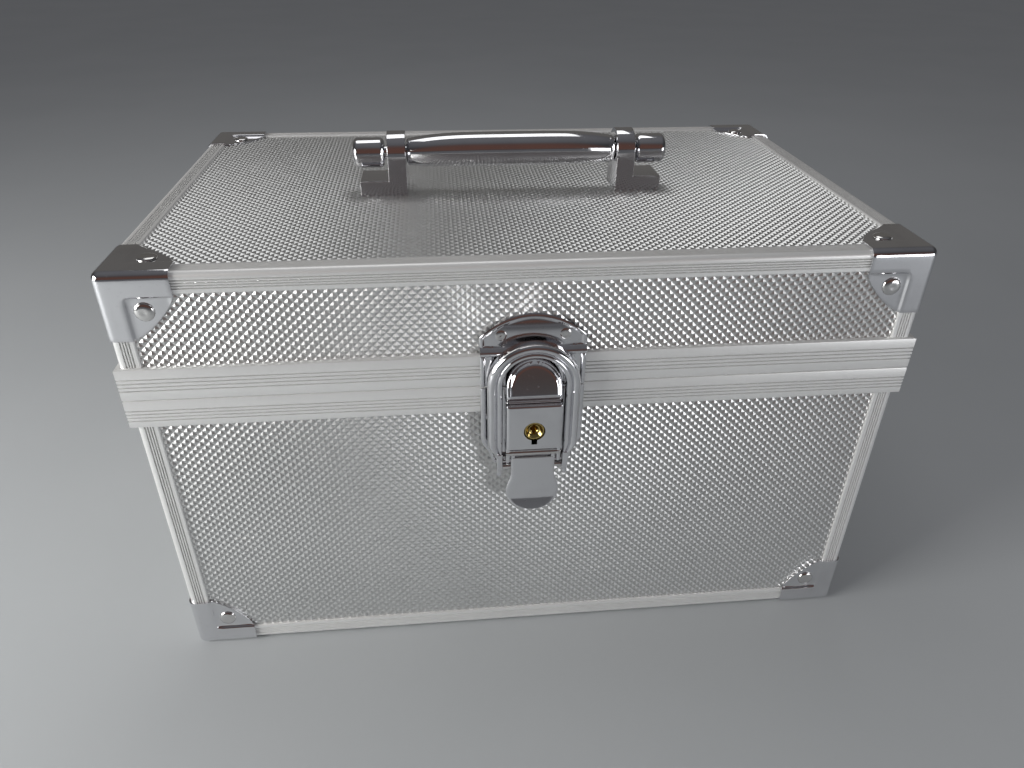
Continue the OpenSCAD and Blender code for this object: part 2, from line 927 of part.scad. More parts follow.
module catch_rivets() {
    color("silver")
        both_sides()
            translate([catch_rivet_at.x, -out_y - plate_t, seam_z + catch_rivet_at.y])
                rotate([90, 0, 0]) rivet_head(catch_rivet_r, catch_rivet_h);
}

module latch_base_plate() {
    half = plate_w / 2;
    low = seam_z - base_plate_h;
    top = seam_lo - plate_gap;
    color("lightgray") {
        front_sheet(plate_y, plate_t)
            polygon([
                [-half, top], [-half, seam_z - plate_taper],
                [-shank_half, low + toe_h], [-toe_half, low],
                [toe_half, low], [shank_half, low + toe_h],
                [half, seam_z - plate_taper], [half, top]
            ]);
        // pressed pad that carries the plate on the panel below the rim
        slab([-pad_half, plate_y, low + pad_in], [pad_half, -out_y, rim_lo]);
    }
}

module latch_plate_rivets() {
    color("silver")
        both_sides()
            translate([plate_rivet_at.x, plate_front, seam_z + plate_rivet_at.y])
                rotate([90, 0, 0]) rivet_head(plate_rivet_r, plate_rivet_h);
}

// lock housing: a block with a domed top, cheeks for the lever below
module lock_housing() {
    half = housing_w / 2;
    color("lightgray")
        difference() {
            union() {
                slab([-half, housing_front, block_lo], [half, plate_front, block_hi]);
                slab([-half + groove_in, housing_front + groove_d, block_hi],
                     [half - groove_in, plate_front - layer_gap, dome_lo]);
                housing_dome();
                both_sides()
                    slab([half - cheek_t, housing_front + groove_d, lever_axis.y - cheek_drop],
                         [half, plate_front, block_lo + cheek_root]);
            }
            rod_y(lock_r + pin_clear, housing_front - past, plate_front - lock_wall, [0, key_z]);
            slab([-slot_half, housing_front - past, key_z - lock_r - slot_len],
                 [slot_half, housing_front + slot_d, key_z - lock_r + slot_root]);
            rod_x(latch_pin_r + pin_clear, -half - past, half + past, lever_axis);
        }
}

// the domed top of the housing: turned above the centre of the arch, straight below it
module housing_dome() {
    half = housing_w / 2;
    back = plate_front - layer_gap;
    intersection() {
        translate([0, back, arch_z]) rotate([90, 0, 0]) rotate_extrude() dome_profile();
        slab([-half - past, housing_front - past, arch_z],
             [half + past, plate_front, arch_z + half + past]);
    }
    translate([0, back, dome_lo])
        linear_extrude(arch_z - dome_lo)
            for (m = [0, 1])
                mirror([m, 0]) mirror([0, 1]) dome_profile();
}

// half section of the dome, rounded towards the front: [distance from the middle, depth]
module dome_profile() {
    half = housing_w / 2;
    depth = housing_d - layer_gap;
    intersection() {
        union() {
            cut([0, 0], [half, depth - dome_soft]);
            cut([0, 0], [half - dome_soft, depth]);
            translate([half - dome_soft, depth - dome_soft]) circle(r = dome_soft);
        }
        cut([0, 0], [half, depth]);
    }
}

module lock_cylinder() {
    color("gold")
        difference() {
            rod_y(lock_r, housing_front + lock_inset, plate_front - lock_wall - lock_back_gap,
                  [0, key_z]);
            slab([-key_half, housing_front - past, key_z - key_reach],
                 [key_half, housing_front + bore_d + past, key_z + key_reach]);
            rod_y(bore_r, housing_front - past, housing_front + bore_d, [0, key_z]);
        }
}

module lever_pin() {
    color("silver")
        rod_x(latch_pin_r, -housing_w / 2, housing_w / 2, lever_axis);
}

// lever: half width of its neck, wall of its eye, flare of its blade
lever_half = housing_w / 2 - cheek_t - layer_gap;
eye_wall = 1.1;
flare_half = 9.6;
flare_h = 1.6;
flare_run = 6;
// ears of the lever, and eyes at the feet of the bail
ear_t = 1.4;
ear_end_r = 2.2;
eye_t = 2.1;
eye_r = 2.1;
// tail below each eye: its length and half thickness
tail_len = 4.2;
tail_half = 1.2;
// depth of the bail's legs below the joint
leg_drop = 27;

// thumb lever: rolled eye on its pivot, flared blade, ears for the bail pin
module latch_lever() {
    tip = lever_axis.y - lever_len;
    color("lightgray")
        difference() {
            union() {
                rod_x(latch_pin_r + eye_wall, -lever_half, lever_half, lever_axis);
                front_sheet(lever_axis.x + lever_t / 2, lever_t) lever_outline(tip);
                both_sides()
                    lever_ear();
            }
            for (p = [lever_axis, bail_axis])
                rod_x(latch_pin_r + pin_clear, -lever_half - past, lever_half + past, p);
        }
}

module lever_outline(tip) {
    flare = flare_half;
    flare_z = tip + flare + flare_h;
    intersection() {
        translate([0, tip + flare]) circle(r = flare);
        cut([-flare, tip - past], [flare, tip + flare]);
    }
    polygon([
        [-flare, tip + flare], [-flare, flare_z], [-lever_half, flare_z + flare_run],
        [-lever_half, lever_axis.y], [lever_half, lever_axis.y],
        [lever_half, flare_z + flare_run], [flare, flare_z], [flare, tip + flare]
    ]);
}

// cheek of the lever that reaches back to the bail pin
module lever_ear() {
    slab([lever_half - ear_t, lever_axis.x, bail_axis.y - ear_end_r],
         [lever_half, bail_axis.x, bail_axis.y + ear_end_r]);
    rod_x(ear_end_r, lever_half - ear_t, lever_half, bail_axis);
}

module bail_pin() {
    color("silver")
        rod_x(latch_pin_r, -arch_in - eye_t, arch_in + eye_t, bail_axis);
}

// bail: an arch over the housing, two legs and an eye at each foot
module latch_bail() {
    out = bail_w / 2;
    leg_lo = seam_z - leg_drop;
    color("lightgray")
        difference() {
            union() {
                front_sheet(bail_back, bail_d)
                    difference() {
                        union() {
                            intersection() {
                                translate([0, arch_z]) circle(r = out, $fn = fine);
                                cut([-out, arch_z], [out, arch_z + out]);
                            }
                            cut([-out, leg_lo], [out, arch_z]);
                        }
                        translate([0, arch_z]) circle(r = arch_in, $fn = fine);
                        cut([-arch_in, leg_lo - past], [arch_in, arch_z]);
                    }
                both_sides() {
                    rod_x(eye_r, arch_in, arch_in + eye_t, bail_axis);
                    slab([arch_in, bail_front, bail_axis.y],
                         [arch_in + eye_t, bail_back, leg_lo + past]);
                    slab([arch_in, bail_axis.x - tail_half, bail_axis.y - tail_len],
                         [arch_in + eye_t, bail_axis.x + tail_half, bail_axis.y]);
                }
            }
            rod_x(latch_pin_r + pin_clear, -out - past, out + past, bail_axis);
        }
}

// ---------- handle ----------

// four clearance holes for the handle screws between two heights
module handle_screw_holes(z0, z1) {
    screw_places()
        translate([0, 0, z0]) cylinder(r = screw_r + screw_clear, h = z1 - z0);
}

module screw_places() {
    both_sides()
        for (s = [-1, 1])
            translate([post_in + foot_w / 2, handle_y + s * screw_step / 2, 0]) children();
}

module handle_posts() {
    color("lightgray")
        difference() {
            both_sides() {
                slab([post_in, handle_y - post_d / 2, top_out],
                     [post_in + foot_w, handle_y + post_d / 2, top_out + foot_h]);
                slab([post_in, handle_y - post_d / 2, top_out],
                     [post_in + riser_t, handle_y + post_d / 2, handle_z]);
                rod_x(post_d / 2, post_in, post_in + riser_t, [handle_y, handle_z]);
            }
            rod_x(spindle_r + pin_clear, -post_in - foot_w, post_in + foot_w,
                  [handle_y, handle_z]);
            handle_screw_holes(top_out - past, top_out + foot_h - foot_skin);
        }
}

module handle_screws() {
    z0 = top_in - liner_t;
    color("gray")
        screw_places() {
            translate([0, 0, z0 - screw_head_h]) cylinder(r = screw_head_r, h = screw_head_h);
            translate([0, 0, z0]) cylinder(r = screw_r, h = top_out + foot_h - screw_short - z0);
        }
}

// bow of the grip at a share t of its half length, and its radius there
function swell_at(t) = 1 - pow(t, 4);
function bow_at(t) = grip_bow * swell_at(t);
function grip_r_at(t) = grip_end_r + (grip_mid_r - grip_end_r) * swell_at(t);
bow_dir = [-cos(bow_tilt), sin(bow_tilt)];
grip_half = post_in - layer_gap;
grip_steps = 20;
grip_sides = 24;

// rings along the grip, from one end to the other
grip_points = [
    for (i = [0 : grip_steps])
        let (t = 2 * i / grip_steps - 1, r = grip_r_at(t), b = bow_at(t))
            for (k = [0 : grip_sides - 1])
                let (a = 360 * k / grip_sides)
                    [t * grip_half,
                     handle_y + b * bow_dir.x + r * cos(a),
                     handle_z + b * bow_dir.y + r * sin(a)]
];
grip_faces = concat(
    [[for (k = [0 : grip_sides - 1]) k]],
    [for (i = [0 : grip_steps - 1])
        for (k = [0 : grip_sides - 1])
            let (a = i * grip_sides, n = (k + 1) % grip_sides)
                [a + k, a + grip_sides + k, a + grip_sides + n, a + n]],
    [[for (k = [grip_sides - 1 : -1 : 0]) grip_steps * grip_sides + k]]
);

module handle_grip() {
    color("lightgray")
        polyhedron(points = grip_points, faces = grip_faces);
}

// knob and spindle: the spindle passes the riser and meets the grip's end
module handle_knobs() {
    knob_x = post_in + riser_t + knob_gap;
    soft = knob_soft;
    color("lightgray")
        both_sides() {
            rod_x(spindle_r, grip_half, knob_x, [handle_y, handle_z]);
            translate([knob_x, handle_y, handle_z])
                rotate([0, 90, 0])
                    rotate_extrude() {
                        cut([0, 0], [knob_r - soft, knob_len]);
                        cut([0, soft], [knob_r, knob_len - soft]);
                        for (z = [soft, knob_len - soft])
                            translate([knob_r - soft, z]) circle(r = soft);
                    }
        }
}

// ---------- the pieces ----------

base_front_panel();
base_back_panel();
base_left_panel();
base_right_panel();
base_bottom_panel();
base_corner_posts();
base_bottom_rails();
base_rim();
base_corner_caps();
base_cap_rivets();
base_liner();
tray_brackets();
tray_bracket_rivets();
arm_base_pins();
latch_base_plate();
latch_plate_rivets();
lock_housing();
lever_pin();
hinge_lower_leaves();
hinge_lower_rivets();
hinge_pins();
lid_top_panel();
lid_front_panel();
lid_back_panel();
lid_left_panel();
lid_right_panel();
lid_corner_posts();
lid_top_rails();
lid_rim();
lid_corner_caps();
lid_cap_rivets();
lid_liner();
lid_tray_brackets();
lid_bracket_rivets();
lid_tray_pins();
catch_plate();
catch_rivets();
hinge_upper_leaves();
hinge_upper_rivets();
handle_posts();
handle_screws();
handle_grip();
handle_knobs();
lock_cylinder();
latch_lever();
bail_pin();
latch_bail();
front_arms();
rear_arms();
upper_tray();
upper_tray_dividers();
upper_tray_pins();
lower_tray();
lower_tray_dividers();
lower_tray_pins();
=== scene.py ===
# %% [markdown]
# # A hard-sided sewing box with trays
# The real box is made of laminated boards with an embossed aluminium skin, held together by ribbed
# aluminium extrusions and pressed chrome corner caps. A draw latch closes it in front and a bar handle
# sits on the lid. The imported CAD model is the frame: it fixes every size and every joint. This script
# only builds the looks. Each piece below rides on the CAD body that it belongs to, and replaces the plain
# CAD node it stands for.

# %% Load the frame
import math

import bmesh
import bpy
import numpy as np
from mathutils import Matrix, Vector


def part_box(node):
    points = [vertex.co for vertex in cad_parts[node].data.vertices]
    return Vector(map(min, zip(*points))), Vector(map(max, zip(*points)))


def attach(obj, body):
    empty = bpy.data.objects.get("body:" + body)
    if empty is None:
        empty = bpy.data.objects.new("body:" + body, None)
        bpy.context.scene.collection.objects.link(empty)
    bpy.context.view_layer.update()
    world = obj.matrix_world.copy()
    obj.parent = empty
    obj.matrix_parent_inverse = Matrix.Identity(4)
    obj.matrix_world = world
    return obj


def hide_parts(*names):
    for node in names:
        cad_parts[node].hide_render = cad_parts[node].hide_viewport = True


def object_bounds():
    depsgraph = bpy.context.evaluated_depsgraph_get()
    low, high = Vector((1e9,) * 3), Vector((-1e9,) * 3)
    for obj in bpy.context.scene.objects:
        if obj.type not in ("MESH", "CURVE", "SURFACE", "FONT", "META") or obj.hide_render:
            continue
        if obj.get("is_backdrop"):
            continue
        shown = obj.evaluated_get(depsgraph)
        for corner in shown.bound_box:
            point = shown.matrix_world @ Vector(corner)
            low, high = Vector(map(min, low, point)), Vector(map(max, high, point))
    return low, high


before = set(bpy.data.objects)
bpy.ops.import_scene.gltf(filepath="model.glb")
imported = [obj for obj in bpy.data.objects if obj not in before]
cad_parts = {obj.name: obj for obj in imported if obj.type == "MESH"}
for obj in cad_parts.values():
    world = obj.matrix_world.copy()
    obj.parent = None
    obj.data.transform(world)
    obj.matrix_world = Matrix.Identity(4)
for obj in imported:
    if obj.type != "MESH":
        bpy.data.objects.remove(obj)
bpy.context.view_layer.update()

# %% [markdown]
# ## Working in millimetres
# A box like this is drawn in millimetres, while Blender counts in metres. So the pieces are described in
# millimetres, and one function turns a list of points and faces into a mesh object at the origin. The
# frame gives the corners of any CAD node, so places are read from it and not typed twice.

# %% Boxes of the CAD nodes, and a mesh from points
MM = 0.001


def box_of(node):
    """Lowest and highest corner of a CAD node in mm."""
    low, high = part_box(node)
    return np.array(low) / MM, np.array(high) / MM


def new_mesh_object(name, points, faces, uvs=None):
    """An object from points in mm. uvs holds one pair for each point."""
    mesh = bpy.data.meshes.new(name)
    mesh.from_pydata((np.asarray(points, float) * MM).tolist(), [], [list(map(int, f)) for f in faces])
    if uvs is not None:
        corner_points = np.zeros(len(mesh.loops), int)
        mesh.loops.foreach_get("vertex_index", corner_points)
        layer = mesh.uv_layers.new(name="along")
        layer.data.foreach_set("uv", np.asarray(uvs, float)[corner_points].ravel())
    mesh.update()
    made = bpy.data.objects.new(name, mesh)
    bpy.context.collection.objects.link(made)
    return made


def weld(piece, distance=0.004, outwards=True):
    """Merges doubled points, drops faces with no area and turns the normals outwards."""
    work = bmesh.new()
    work.from_mesh(piece.data)
    bmesh.ops.remove_doubles(work, verts=work.verts, dist=distance * MM)
    bmesh.ops.dissolve_degenerate(work, dist=distance * MM / 4, edges=work.edges)
    if outwards:
        bmesh.ops.recalc_face_normals(work, faces=work.faces)
    work.to_mesh(piece.data)
    work.free()
    return piece


def bake_modifiers(piece):
    """Turns what the modifiers make into the piece's own mesh, and removes them."""
    graph = bpy.context.evaluated_depsgraph_get()
    mesh = bpy.data.meshes.new_from_object(piece.evaluated_get(graph))
    piece.modifiers.clear()
    piece.data = mesh
    return piece


def round_edges(piece, width, segments=2, angle=35):
    """A bevel on every edge sharper than the angle, baked in."""
    bevel = piece.modifiers.new("edges", "BEVEL")
    bevel.width = width * MM
    bevel.segments = segments
    bevel.limit_method = "ANGLE"
    bevel.angle_limit = math.radians(angle)
    bevel.harden_normals = False
    return bake_modifiers(piece)


def give_thickness(piece, thickness, bevel=0.0):
    """Gives a sheet its wall, grown behind its faces, and softens the cut edges."""
    wall = piece.modifiers.new("wall", "SOLIDIFY")
    wall.thickness = thickness * MM
    wall.offset = -1
    wall.use_even_offset = True
    bake_modifiers(piece)
    if bevel:
        round_edges(piece, bevel, angle=50)
    return piece


def shade(piece, angle=35):
    """Smooth shading with the edges sharper than the angle kept crisp."""
    piece.data.shade_smooth()
    piece.data.set_sharp_from_angle(angle=math.radians(angle))
    return piece


made_pieces = []


def fit(piece, body, slot_name, *nodes):
    """Paints a piece with its slot's finish, ties it to its body and hides the nodes it stands for."""
    piece.data.materials.clear()
    piece.data.materials.append(finishes[slot_name])
    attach(piece, body)
    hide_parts(*nodes)
    made_pieces.append(piece.name)
    print(f"{piece.name}: {len(piece.data.polygons)} faces on {body}")
    return piece


# %% [markdown]
# ## Node trees written as expressions
# Shader maths soon turns into a tangle of Math nodes. Here a small class wraps a socket, and its + - *
# and / add the Math nodes, so that a mask can be written as `1 - wear * 0.5`. Every other node comes from
# one method that takes the node's type, its settings and what goes into its sockets. The same class
# serves Geometry Nodes.

# %% A socket that does sums, and a tree that makes nodes
class Wire:
    """An output socket. Sums with numbers and other wires add Math nodes to its tree."""

    def __init__(self, tree, socket):
        self.tree = tree
        self.socket = socket

    def _sum(self, operation, first, second):
        return self.tree.add("ShaderNodeMath", {"operation": operation}, {0: first, 1: second})

    def __add__(self, other):
        return self._sum("ADD", self, other)

    def __sub__(self, other):
        return self._sum("SUBTRACT", self, other)

    def __rsub__(self, other):
        return self._sum("SUBTRACT", other, self)

    def __mul__(self, other):
        return self._sum("MULTIPLY", self, other)

    def __truediv__(self, other):
        return self._sum("DIVIDE", self, other)

    def __rtruediv__(self, other):
        return self._sum("DIVIDE", other, self)

    __radd__ = __add__
    __rmul__ = __mul__

    def out(self, name):
        """Another output of the same node."""
        return Wire(self.tree, self.socket.node.outputs[name])


class NodeTree:
    """A node tree filled in by calls."""

    def __init__(self, group):
        self.group = group
        self.group.nodes.clear()

    def add(self, kind, settings=None, inputs=None, output=0):
        """One node: its settings first, then the values or wires of its sockets."""
        node = self.group.nodes.new(kind)
        for key, value in (settings or {}).items():
            if key == "stops":
                self._set_stops(node.color_ramp, value)
            else:
                setattr(node, key, value)
        for key, value in (inputs or {}).items():
            if isinstance(value, Wire):
                self.group.links.new(value.socket, node.inputs[key])
            else:
                node.inputs[key].default_value = value
        return Wire(self, node.outputs[output]) if len(node.outputs) else node

    def _set_stops(self, ramp, stops):
        while len(ramp.elements) < len(stops):
            ramp.elements.new(0.5)
        for element, (place, colour) in zip(ramp.elements, stops):
            element.position = place
            element.color = (*colour, 1)

    def band(self, wire, low, high):
        """0 below low, 1 above high, smooth between."""
        settings = {"interpolation_type": "SMOOTHSTEP"}
        return self.add("ShaderNodeMapRange", settings, {"Value": wire, "From Min": low, "From Max": high})

    def mix(self, factor, first, second):
        """A colour between two colours."""
        node = self.add("ShaderNodeMix", {"data_type": "RGBA"}, {"Factor": factor}, output=2)
        for index, colour in ((6, first), (7, second)):
            if isinstance(colour, Wire):
                self.group.links.new(colour.socket, node.socket.node.inputs[index])
            else:
                node.socket.node.inputs[index].default_value = (*colour, 1)
        return node


# %% [markdown]
# ## Finishes
# Each finish of the record is one material. Metal gets its life from what it mirrors, so its colour
# barely changes, but its roughness does: smudges, drawn lines and fine scratches all live there. Patterns
# use Object coordinates in metres, so a scale of 100 means features of about 10 mm. Drawn lines follow a
# piece's own "along" map, which the swept pieces carry.

# %% Helpers that the finishes share
class Finish(NodeTree):
    """A material with one Principled shader."""

    def __init__(self, name):
        self.material = bpy.data.materials.new(name)
        self.material.use_nodes = True
        super().__init__(self.material.node_tree)
        self.place = self.add("ShaderNodeTexCoord", output="Object")

    def noise(self, scale, detail=2.0, stretch=None, turn=(0, 0, 0), along=None):
        """Noise from 0 to 1. stretch squeezes the pattern along the axes."""
        where = along or self.place
        if stretch:
            values = {"Vector": where, "Scale": stretch, "Rotation": turn}
            where = self.add("ShaderNodeMapping", None, values)
        return self.add("ShaderNodeTexNoise", None, {"Vector": where, "Scale": scale, "Detail": detail})

    def bump(self, height, distance, strength=1.0):
        """A normal from a height in mm."""
        values = {"Height": height, "Distance": distance * MM, "Strength": strength}
        return self.add("ShaderNodeBump", None, values)

    def close(self, **values):
        """Adds the shader with the given sockets and returns the material."""
        names = {key.replace("_", " "): value for key, value in values.items()}
        surface = self.add("ShaderNodeBsdfPrincipled", None, names)
        self.add("ShaderNodeOutputMaterial", None, {"Surface": surface})
        return self.material


finishes = {}

# %% [markdown]
# Embossed skin: rolled aluminium, a little uneven in tone, with a soft grain and a few long scuffs where
# the box has been handled. The pyramids themselves are real geometry and come later.

# %% Embossed aluminium
def embossed_aluminium():
    """Cloudy rolled metal with a fine grain and a few long scuffs."""
    skin = Finish("embossed_aluminium")
    cloud = skin.noise(scale=14, detail=3)
    grain = skin.noise(scale=2600, detail=1)
    streak = skin.noise(scale=30, detail=2, stretch=(2.2, 2.2, 26), turn=(0.4, 0.9, 0.5))
    scuff = skin.band(streak, 0.70, 0.76) * skin.band(cloud, 0.42, 0.62)
    tone = skin.mix(cloud, (0.66, 0.665, 0.66), (0.78, 0.785, 0.78))
    rough = 0.27 + cloud * 0.08 + scuff * 0.12
    return skin.close(
        Base_Color=skin.mix(scuff * 0.5, tone, (0.90, 0.90, 0.88)),
        Metallic=0.92,
        Roughness=rough,
        Normal=skin.bump(grain, distance=0.02),
    )


finishes["embossed_aluminium"] = embossed_aluminium()

# %% [markdown]
# Extrusions: satin anodised aluminium. Anodising scatters some light inside the oxide layer, so the
# finish is not fully metallic, and the die leaves fine lines along the length.

# %% Satin aluminium
def satin_aluminium(name, colour, metallic, rough):
    """Drawn lines along the map of a swept piece, over a soft cloud."""
    satin = Finish(name)
    along = satin.add("ShaderNodeTexCoord", output="UV")
    drawn = satin.noise(scale=1, detail=3, stretch=(18, 2400, 1), along=along)
    cloud = satin.noise(scale=20, detail=3)
    light = tuple(min(1.0, c * 1.06) for c in colour)
    dark = tuple(c * 0.93 for c in colour)
    return satin.close(
        Base_Color=satin.mix(drawn * 0.5 + cloud * 0.5, dark, light),
        Metallic=metallic,
        Roughness=rough + drawn * 0.06 + cloud * 0.06,
        Normal=satin.bump(drawn, distance=0.004, strength=0.5),
    )


finishes["satin_aluminium"] = satin_aluminium(
    "satin_aluminium", (0.88, 0.88, 0.87), metallic=0.50, rough=0.32)
finishes["arm_aluminium"] = satin_aluminium("arm_aluminium", (0.74, 0.74, 0.75), metallic=1.0, rough=0.28)

# %% [markdown]
# Chrome and nickel: nearly a mirror. Handling leaves a faint film, which shows as a change of roughness
# in patches, and old plating has tiny pits.

# %% Plated metals
def plated(name, colour, rough, film, pit_depth=0.012):
    """A mirror plating with a film in patches and tiny pits."""
    plate = Finish(name)
    patch = plate.noise(scale=60, detail=4)
    pits = plate.band(plate.noise(scale=900, detail=2), 0.66, 0.74)
    wear = plate.band(patch, 0.45, 0.75)
    dull = tuple(c * 0.86 for c in colour)
    return plate.close(
        Base_Color=plate.mix(wear * 0.6 + pits * 0.4, colour, dull),
        Metallic=1.0,
        Roughness=rough + wear * film + pits * 0.15,
        Normal=plate.bump(1 - pits, distance=pit_depth, strength=0.5),
    )


finishes["chrome"] = plated("chrome", (0.80, 0.80, 0.82), rough=0.06, film=0.07)
finishes["rivet_steel"] = plated("rivet_steel", (0.74, 0.73, 0.72), rough=0.12, film=0.12)
finishes["hinge_steel"] = plated("hinge_steel", (0.68, 0.68, 0.69), rough=0.20, film=0.12)
finishes["brass"] = plated("brass", (0.52, 0.40, 0.15), rough=0.16, film=0.16)

# %% [markdown]
# Trays and dividers: moulded plastic with a fine spark-eroded grain. The lining is a short black nap: its
# fibres catch light at a grazing angle, which is what sheen is for. The bottom board is a coated fibre
# board.

# %% Plastic, lining and board
def moulded_plastic(name, colour):
    """Plastic with a spark-eroded grain."""
    plastic = Finish(name)
    cloud = plastic.noise(scale=25, detail=2)
    grain = plastic.noise(scale=1500, detail=2)
    pale = tuple(c * 1.25 for c in colour)
    return plastic.close(
        Base_Color=plastic.mix(cloud, colour, pale),
        Roughness=0.42 + grain * 0.14,
        Normal=plastic.bump(grain, distance=0.05, strength=0.7),
        Specular_IOR_Level=0.5,
    )


def napped_lining():
    """Short black fibres, brushed unevenly."""
    nap = Finish("lining")
    fibre = nap.noise(scale=1400, detail=4)
    brushed = nap.noise(scale=26, detail=3, stretch=(1, 1, 2.2))
    return nap.close(
        Base_Color=nap.mix(brushed * 0.6 + fibre * 0.4, (0.010, 0.010, 0.012), (0.045, 0.045, 0.050)),
        Roughness=0.88 + fibre * 0.1,
        Normal=nap.bump(fibre, distance=0.18),
        Sheen_Weight=0.35,
        Sheen_Roughness=0.45,
    )


def coated_board():
    """Dark coated fibre board."""
    board = Finish("bottom_board")
    grain = board.noise(scale=500, detail=3)
    cloud = board.noise(scale=18, detail=3)
    return board.close(
        Base_Color=board.mix(cloud, (0.030, 0.031, 0.033), (0.055, 0.056, 0.058)),
        Roughness=0.55 + grain * 0.2,
        Normal=board.bump(grain, distance=0.12),
    )


finishes["tray_plastic"] = moulded_plastic("tray_plastic", (0.050, 0.053, 0.060))
finishes["divider_plastic"] = moulded_plastic("divider_plastic", (0.095, 0.100, 0.110))
finishes["lining"] = napped_lining()
finishes["bottom_board"] = coated_board()
print("finishes:", sorted(finishes))

# %% [markdown]
# ## Embossed panels
# The skin is rolled between patterned rollers, so the same small pyramid repeats in staggered rows,
# thousands of times. That is a job for Geometry Nodes: a grid of points at half the pitch, every second
# point kept, one four-sided pyramid with a blunt tip on each, a little smaller than its cell, so that
# flat strips of the board show between them. The tree also turns the finished skin to its wall and joins
# it to the board.

# %% Sizes of the embossing
CELL_W = 3.12
CELL_H = 3.06
RELIEF = 0.42
TIP = 0.14
STUD = 0.87
LEG = 7.2
LEG_T = 1.0


# %% The embossing as a Geometry Nodes tree
def geometry_tree(name, inputs):
    """An empty geometry tree with a geometry input and the named inputs, as (name, socket type, default)."""
    group = bpy.data.node_groups.new(name, "GeometryNodeTree")
    tree = NodeTree(group)
    group.interface.new_socket("Geometry", in_out="OUTPUT", socket_type="NodeSocketGeometry")
    group.interface.new_socket("Geometry", in_out="INPUT", socket_type="NodeSocketGeometry")
    for label, kind, default in inputs:
        socket = group.interface.new_socket(label, in_out="INPUT", socket_type=kind)
        if default is not None:
            socket.default_value = default
    tree.inputs = tree.add("NodeGroupInput")
    return tree


def finish_tree(tree, geometry):
    """Realize Instances and Set Material close every tree."""
    solid = tree.add("GeometryNodeRealizeInstances", None, {0: geometry})
    painted = tree.add("GeometryNodeSetMaterial", None, {0: solid, "Material": tree.inputs.out("Finish")})
    tree.add("NodeGroupOutput", None, {0: painted})
    return tree.group


def run_tree(piece, group, values):
    """Runs a geometry tree on a piece and keeps the plain mesh that comes out."""
    modifier = piece.modifiers.new(group.name, "NODES")
    modifier.node_group = group
    for item in group.interface.items_tree:
        if item.item_type == "SOCKET" and item.in_out == "INPUT" and item.name in values:
            modifier[item.identifier] = values[item.name]
    return bake_modifiers(piece)


def embossing_tree():
    """Studs in staggered rows on a rectangle, joined to the board that comes in."""
    tree = geometry_tree("embossed_skin", [
        ("Width", "NodeSocketFloat", 0.1), ("Height", "NodeSocketFloat", 0.1),
        ("Cell Width", "NodeSocketFloat", CELL_W * MM), ("Cell Height", "NodeSocketFloat", CELL_H * MM),
        ("Relief", "NodeSocketFloat", RELIEF * MM), ("Tip", "NodeSocketFloat", TIP),
        ("Stud", "NodeSocketFloat", STUD),
        ("Turn", "NodeSocketVector", None), ("Place", "NodeSocketVector", None),
        ("Finish", "NodeSocketMaterial", None),
    ])
    value = tree.inputs.out
    half_w = value("Cell Width") / 2
    half_h = value("Cell Height") / 2

    def round_up(wire):
        return tree.add("ShaderNodeMath", {"operation": "CEIL"}, {0: wire})

    columns = round_up(value("Width") / half_w)
    rows = round_up(value("Height") / half_h)
    grid = tree.add("GeometryNodeMeshGrid", None, {
        "Size X": columns * half_w, "Size Y": rows * half_h,
        "Vertices X": columns + 1, "Vertices Y": rows + 1,
    })
    spot = tree.add("GeometryNodeInputPosition")
    parts = tree.add("ShaderNodeSeparateXYZ", None, {0: spot})
    step = (parts.out("X") + columns * half_w / 2) / half_w + (parts.out("Y") + rows * half_h / 2) / half_h
    whole = tree.add("ShaderNodeMath", {"operation": "ROUND"}, {0: step})
    odd = tree.add("ShaderNodeMath", {"operation": "MODULO"}, {0: whole, 1: 2.0})
    less = {"data_type": "FLOAT", "operation": "LESS_THAN"}
    even = tree.add("FunctionNodeCompare", less, {0: odd, 1: 0.5})
    cone = tree.add("GeometryNodeMeshCone", {"fill_type": "NGON"}, {
        "Vertices": 4, "Radius Top": value("Tip"), "Radius Bottom": 1.0, "Depth": value("Relief"),
    })
    open_cone = tree.add("GeometryNodeDeleteGeometry", {"domain": "FACE"}, {0: cone, 1: cone.out("Bottom")})
    stud = value("Stud")
    size = tree.add("ShaderNodeCombineXYZ", None, {"X": half_w * stud, "Y": half_h * stud, "Z": 1.0})
    studs = tree.add("GeometryNodeInstanceOnPoints", None, {
        "Points": grid, "Selection": even, "Instance": open_cone, "Scale": size,
    })
    skin = tree.add("GeometryNodeRealizeInstances", None, {0: studs})
    welded = tree.add("GeometryNodeMergeByDistance", None, {0: skin, "Distance": 0.01 * MM})
    turned = tree.add("GeometryNodeTransform", None, {
        0: welded, "Translation": value("Place"), "Rotation": value("Turn"),
    })
    both = tree.add("GeometryNodeJoinGeometry")
    tree.group.links.new(turned.socket, both.socket.node.inputs[0])
    tree.group.links.new(tree.inputs.socket, both.socket.node.inputs[0])
    return finish_tree(tree, both)


embossed_skin = embossing_tree()
print("tree:", embossed_skin.name, len(embossed_skin.nodes), "nodes")


# %% The nine embossed boards
def slab(name, low, high):
    """A closed block between two corners."""
    corners = [(x, y, z) for x in (low[0], high[0]) for y in (low[1], high[1]) for z in (low[2], high[2])]
    sides = [(0, 1, 3, 2), (4, 6, 7, 5), (0, 4, 5, 1), (2, 3, 7, 6), (0, 2, 6, 4), (1, 5, 7, 3)]
    return new_mesh_object(name, corners, sides)


UPRIGHT = math.radians(90)
